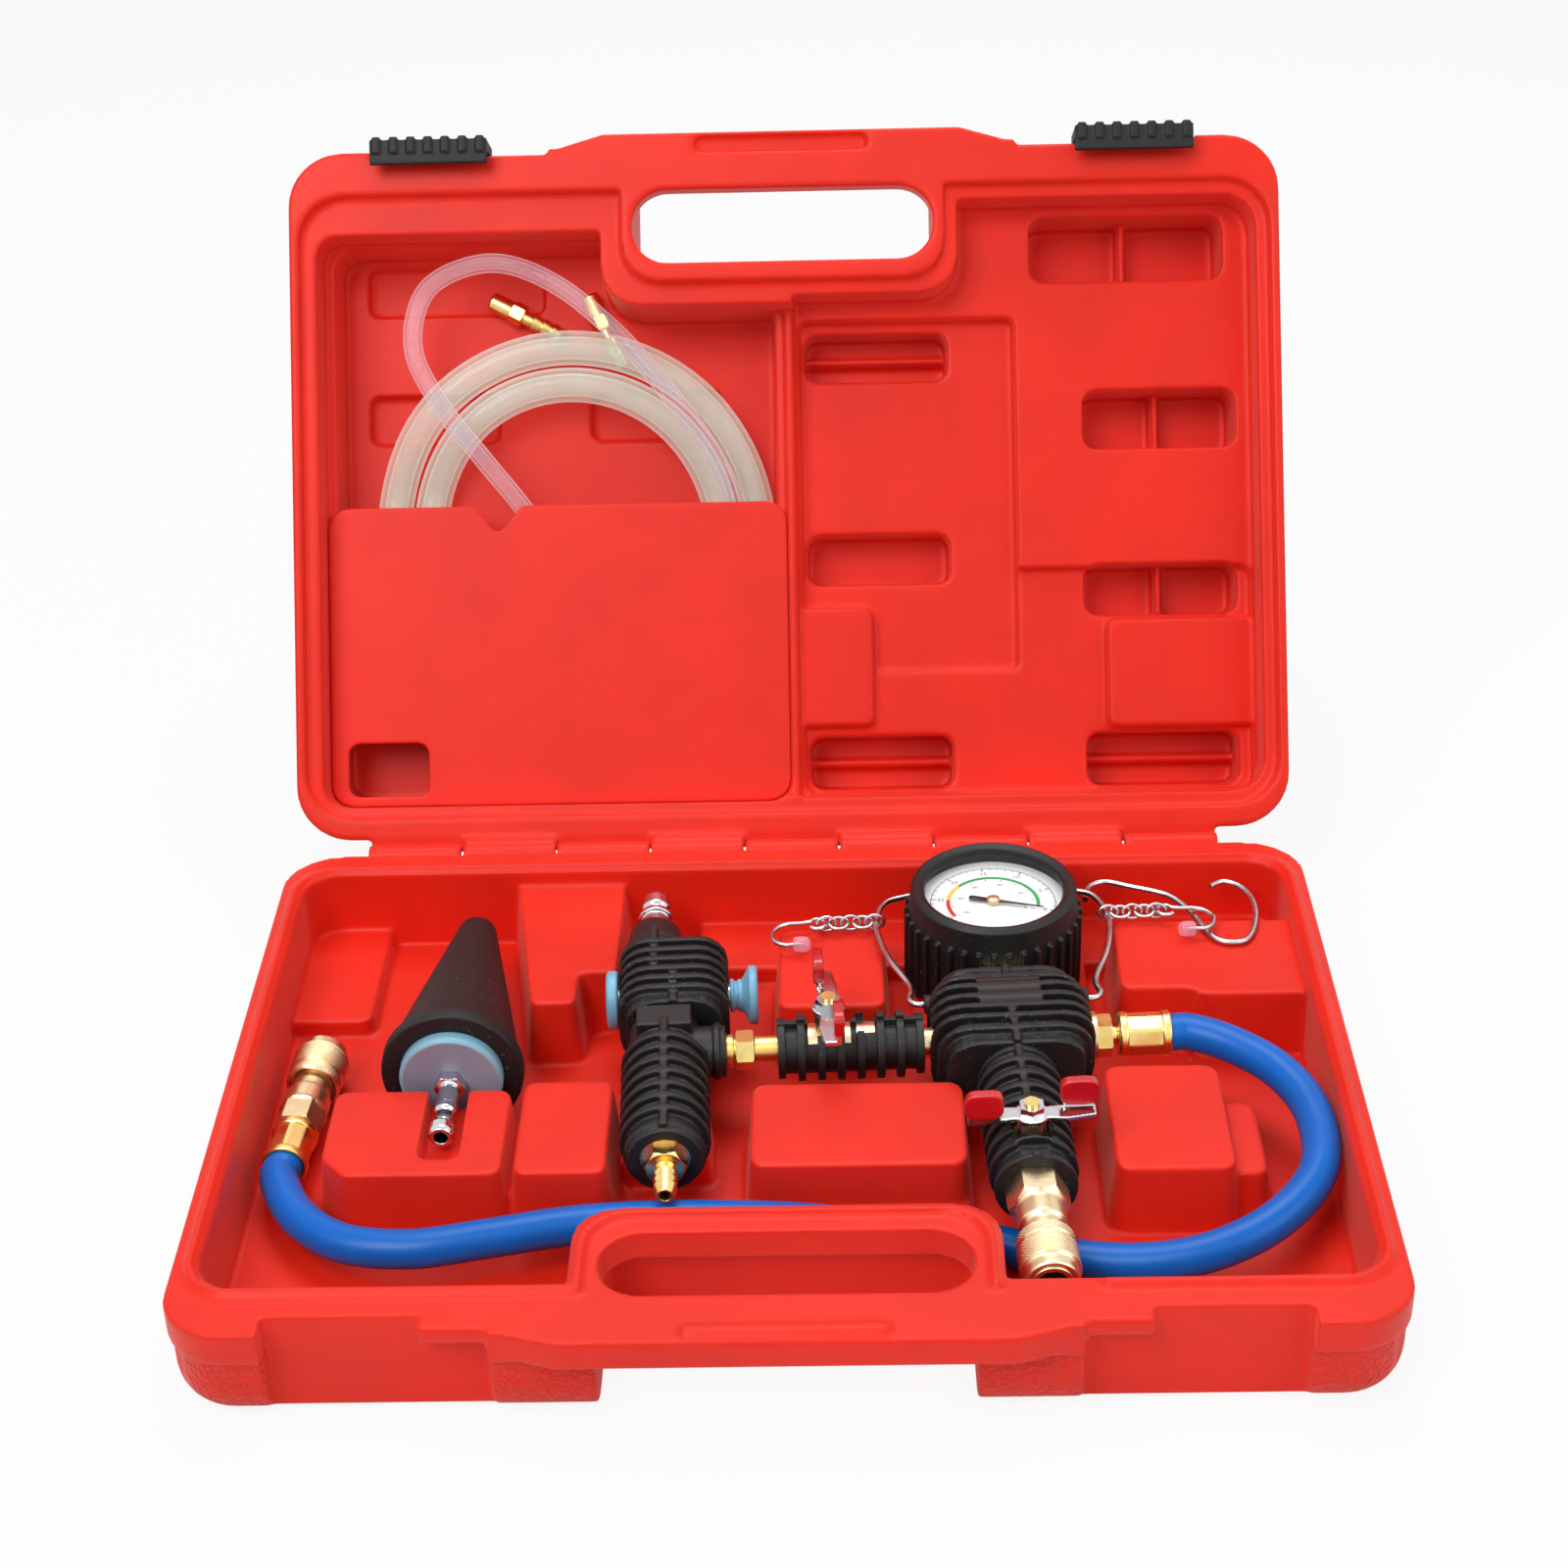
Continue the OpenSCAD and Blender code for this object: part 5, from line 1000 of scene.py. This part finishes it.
wire("wire_bail", bail_line(), WIRE_R, "bail", STEEL)
hanger = np.array([[-58, 98], [-56, 106], [-50, 109], [-42, 106], [-29, 100], [-22, 90], [-18.5, 80],
                   [-15, 72.5], [-10, 70], [-4, 72], [0, 82], [1, 94], [-2, 104], [-8, 108], [-13, 105]])
hanger_line = np.column_stack([hanger[:, 0] + TRAY_X - 12, hanger[:, 1],
                               np.full(len(hanger), PLATEAU + WIRE_R + SEAT)])
wire("hanger_wire", smooth_line(hanger_line, 8), WIRE_R, "base", STEEL)
HOOK_X = LINK_OUT + (LINKS - 1)*LINK_STEP + EYE_R + 0.3
CHAIN_SIDES = (IN_KIT @ move(CHAIN_X, CHAIN_Y, EAR_Z), IN_KIT @ move(-CHAIN_X, CHAIN_Y, EAR_Z) @ FLIP_X)


def hook_line():
    """Wire hook: an eye bent round almost to the shank, the shank and the hook."""
    a = np.radians(40 + 290*np.arange(8)/7)
    eye = np.stack([HOOK_X + EYE_R*np.cos(a), -EYE_R*np.sin(a)], 1)
    shank = np.array([[6, 0.8], [10, 0.6], [13.5, -1], [16, -5], [14.8, -10], [11.5, -12], [8.5, -12],
                      [5.5, -12]])
    flat = np.concatenate([eye, shank + [HOOK_X, 0]])
    return smooth_line(np.column_stack([flat, np.zeros(len(flat))]), 6)


hook = hook_line()
hook_pair = joined(*[swept(placed(hook, m), 0.8, 10) for m in CHAIN_SIDES])
hooks = new_piece("chain_hooks_round", *hook_pair, "bail", "steel", STEEL, 60)
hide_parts("chain_hooks")


def chain_links(matrix):
    """Row of oval wire links, each turned a quarter turn and a little more than the last."""
    t = np.linspace(0, 2*np.pi, 28, endpoint=False)
    out = []
    for i in range(LINKS):
        lean = math.radians(90 + 90*i + (18 if i % 2 else -14))
        flat = np.stack([3.3*np.cos(t) + LINK_OUT + i*LINK_STEP, 2.5*np.sin(t)*math.cos(lean),
                         2.5*np.sin(t)*math.sin(lean)], 1)
        normal = matrix[:3, :3] @ np.array([0.0, -math.sin(lean), math.cos(lean)])
        out.append(swept(placed(flat, matrix), 0.62, 8, closed=True, up=normal))
    return joined(*out)


chain_pair = joined(*[chain_links(m) for m in CHAIN_SIDES])
chain = new_piece("chains_oval", *chain_pair, "bail", "steel", STEEL, 60)
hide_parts("chains")
# The hook tips carry a faint painted glow, the last number
TIP = clear_material("hook_tip_clear", srgb(238, 176, 198), srgb(252, 216, 228), 0.12, 0.35, 0.75, 0.05)
tip_line = [(0, -2.8), (1.4, -2.6), (2.4, -1.8), (2.7, 0), (2.6, 2.4), (2.1, 3.2), (0.85, 3.2),
            (0.85, -0.05), (0, -0.05)]
tip_round = rounded_profile(tip_line, 0.5)
tip_pair = joined(*[turned(tip_round, m @ move(*hook[-1]) @ ALONG_X, 32) for m in CHAIN_SIDES])
tips = new_piece("hook_tips_clear", *tip_pair, "bail", "hose_thin", TIP, 50)
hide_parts("hook_tips")


# Gauge face

def dial_band(inner, outer, first, last, lift=0.03, steps=64):
    """Flat ring sector on the dial: radius by angle, angles clockwise from the far side."""
    a = np.radians(np.linspace(first, last, steps))
    r = np.array([inner, outer])
    pts = np.stack([r[:, None]*np.sin(a), r[:, None]*np.cos(a), np.full((2, steps), DIAL_TOP + lift)], -1)
    return placed(pts.reshape(-1, 3), IN_GAUGE), grid_faces(2, steps)


def dial_angle(value):
    """Angle of a reading of 0 to 30 on the outer scale, clockwise from the far side."""
    return NEEDLE_REST - 7.5*value


def dial_ticks():
    """Outer scale: a line with a short mark for each unit and a long one for each five."""
    marks = [dial_band(21.5, 21.75, dial_angle(30), dial_angle(0))]
    for value in range(31):
        a = dial_angle(value)
        long = value % 5 == 0
        half = 0.55 if long else 0.28
        marks.append(dial_band(19.9 if long else 20.6, 21.6, a - half, a + half, steps=2))
    for value in range(0, 101, 10):
        a = dial_angle(0.3*value)
        marks.append(dial_band(13.4, 14.6, a - 0.6, a + 0.6, steps=2))
    return joined(*marks)


def dial_figures(values, radius, height, scale):
    """Upright numbers on a circle of the dial, as flat faces."""
    out = []
    for value in values:
        curve = bpy.data.curves.new("figure", "FONT")
        curve.body = str(value)
        curve.size = height
        curve.align_x = "CENTER"
        curve.align_y = "CENTER"
        text = bpy.data.objects.new("figure", curve)
        mesh = bpy.data.meshes.new_from_object(text)
        flat = np.array([v.co for v in mesh.vertices])
        faces = [list(f.vertices) for f in mesh.polygons]
        a = math.radians(dial_angle(value*scale))
        flat = flat + [radius*math.sin(a), radius*math.cos(a), DIAL_TOP + 0.03]
        out.append((placed(flat, IN_GAUGE), faces))
        bpy.data.objects.remove(text)
        bpy.data.meshes.remove(mesh)
    return joined(*out)


def print_piece(name, shape, material):
    """Flat print on the dial."""
    return new_piece(name, *shape, "base", "dial_white", material)


print_piece("dial_scale", dial_ticks(), INK)
print_piece("dial_green", dial_band(14.9, 16.3, -45, 103), INK_GREEN)
print_piece("dial_yellow", dial_band(14.9, 16.3, -80, -45), INK_YELLOW)
print_piece("dial_red", dial_band(14.9, 16.3, -118, -80), INK_RED)
print_piece("dial_outer_figures", dial_figures(range(0, 31, 5), 18.2, 2.7, 1.0), INK)
print_piece("dial_inner_figures", dial_figures(range(0, 101, 20), 11.4, 2.1, 0.3), INK)


def needle():
    """Pointer: a thin blade, wide at the tail and fine at the tip, its width a line along its length, and
    domed across."""
    y = np.array([-8.5, -7.5, -4.5, 0.0, 6.0, 12.0, 17.6])
    half = np.array([0.9, 1.25, 1.15, 0.95, 0.62, 0.4, 0.18])
    across = np.linspace(-1, 1, 5)
    x = half[:, None]*across
    top = DIAL_TOP + 1.25 + 0.16*(1 - across**2)[None, :]*np.ones((len(y), 1))
    upper = np.stack([x, np.repeat(y[:, None], 5, 1), top], -1).reshape(-1, 3)
    lower = upper*[1, 1, 0] + [0, 0, DIAL_TOP + 1.05]
    m = IN_GAUGE @ turn_z(-NEEDLE_REST)
    blade = np.concatenate([upper, lower])
    n = len(y)
    sheet = grid_faces(n, 5)
    edge = np.concatenate([np.arange(n)*5, (n - 1)*5 + np.arange(1, 5), np.arange(n - 2, -1, -1)*5 + 4,
                           np.arange(3, 0, -1)])
    wall = np.stack([edge, np.roll(edge, -1), np.roll(edge, -1) + 5*n, edge + 5*n], 1)
    faces = np.concatenate([sheet, sheet[:, ::-1] + 5*n, wall])
    return placed(blade, m), faces


pointer = new_piece("needle_blade", *needle(), "needle", "gauge_black", INK, 30)
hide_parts("gauge_pointer")
hub_line = [(0, DIAL_TOP + 2.5), (1.2, DIAL_TOP + 2.45), (2.2, DIAL_TOP + 2.0), (2.4, DIAL_TOP + 1.4),
            (2.4, DIAL_TOP + 0.5), (0.9, DIAL_TOP + 0.5), (0.9, 7.8), (0, 7.8)]
hub = turned(rounded_profile(hub_line, 0.4), IN_GAUGE, 40)
new_piece("needle_hub", *hub, "needle", "gauge_black", PALE, 40)
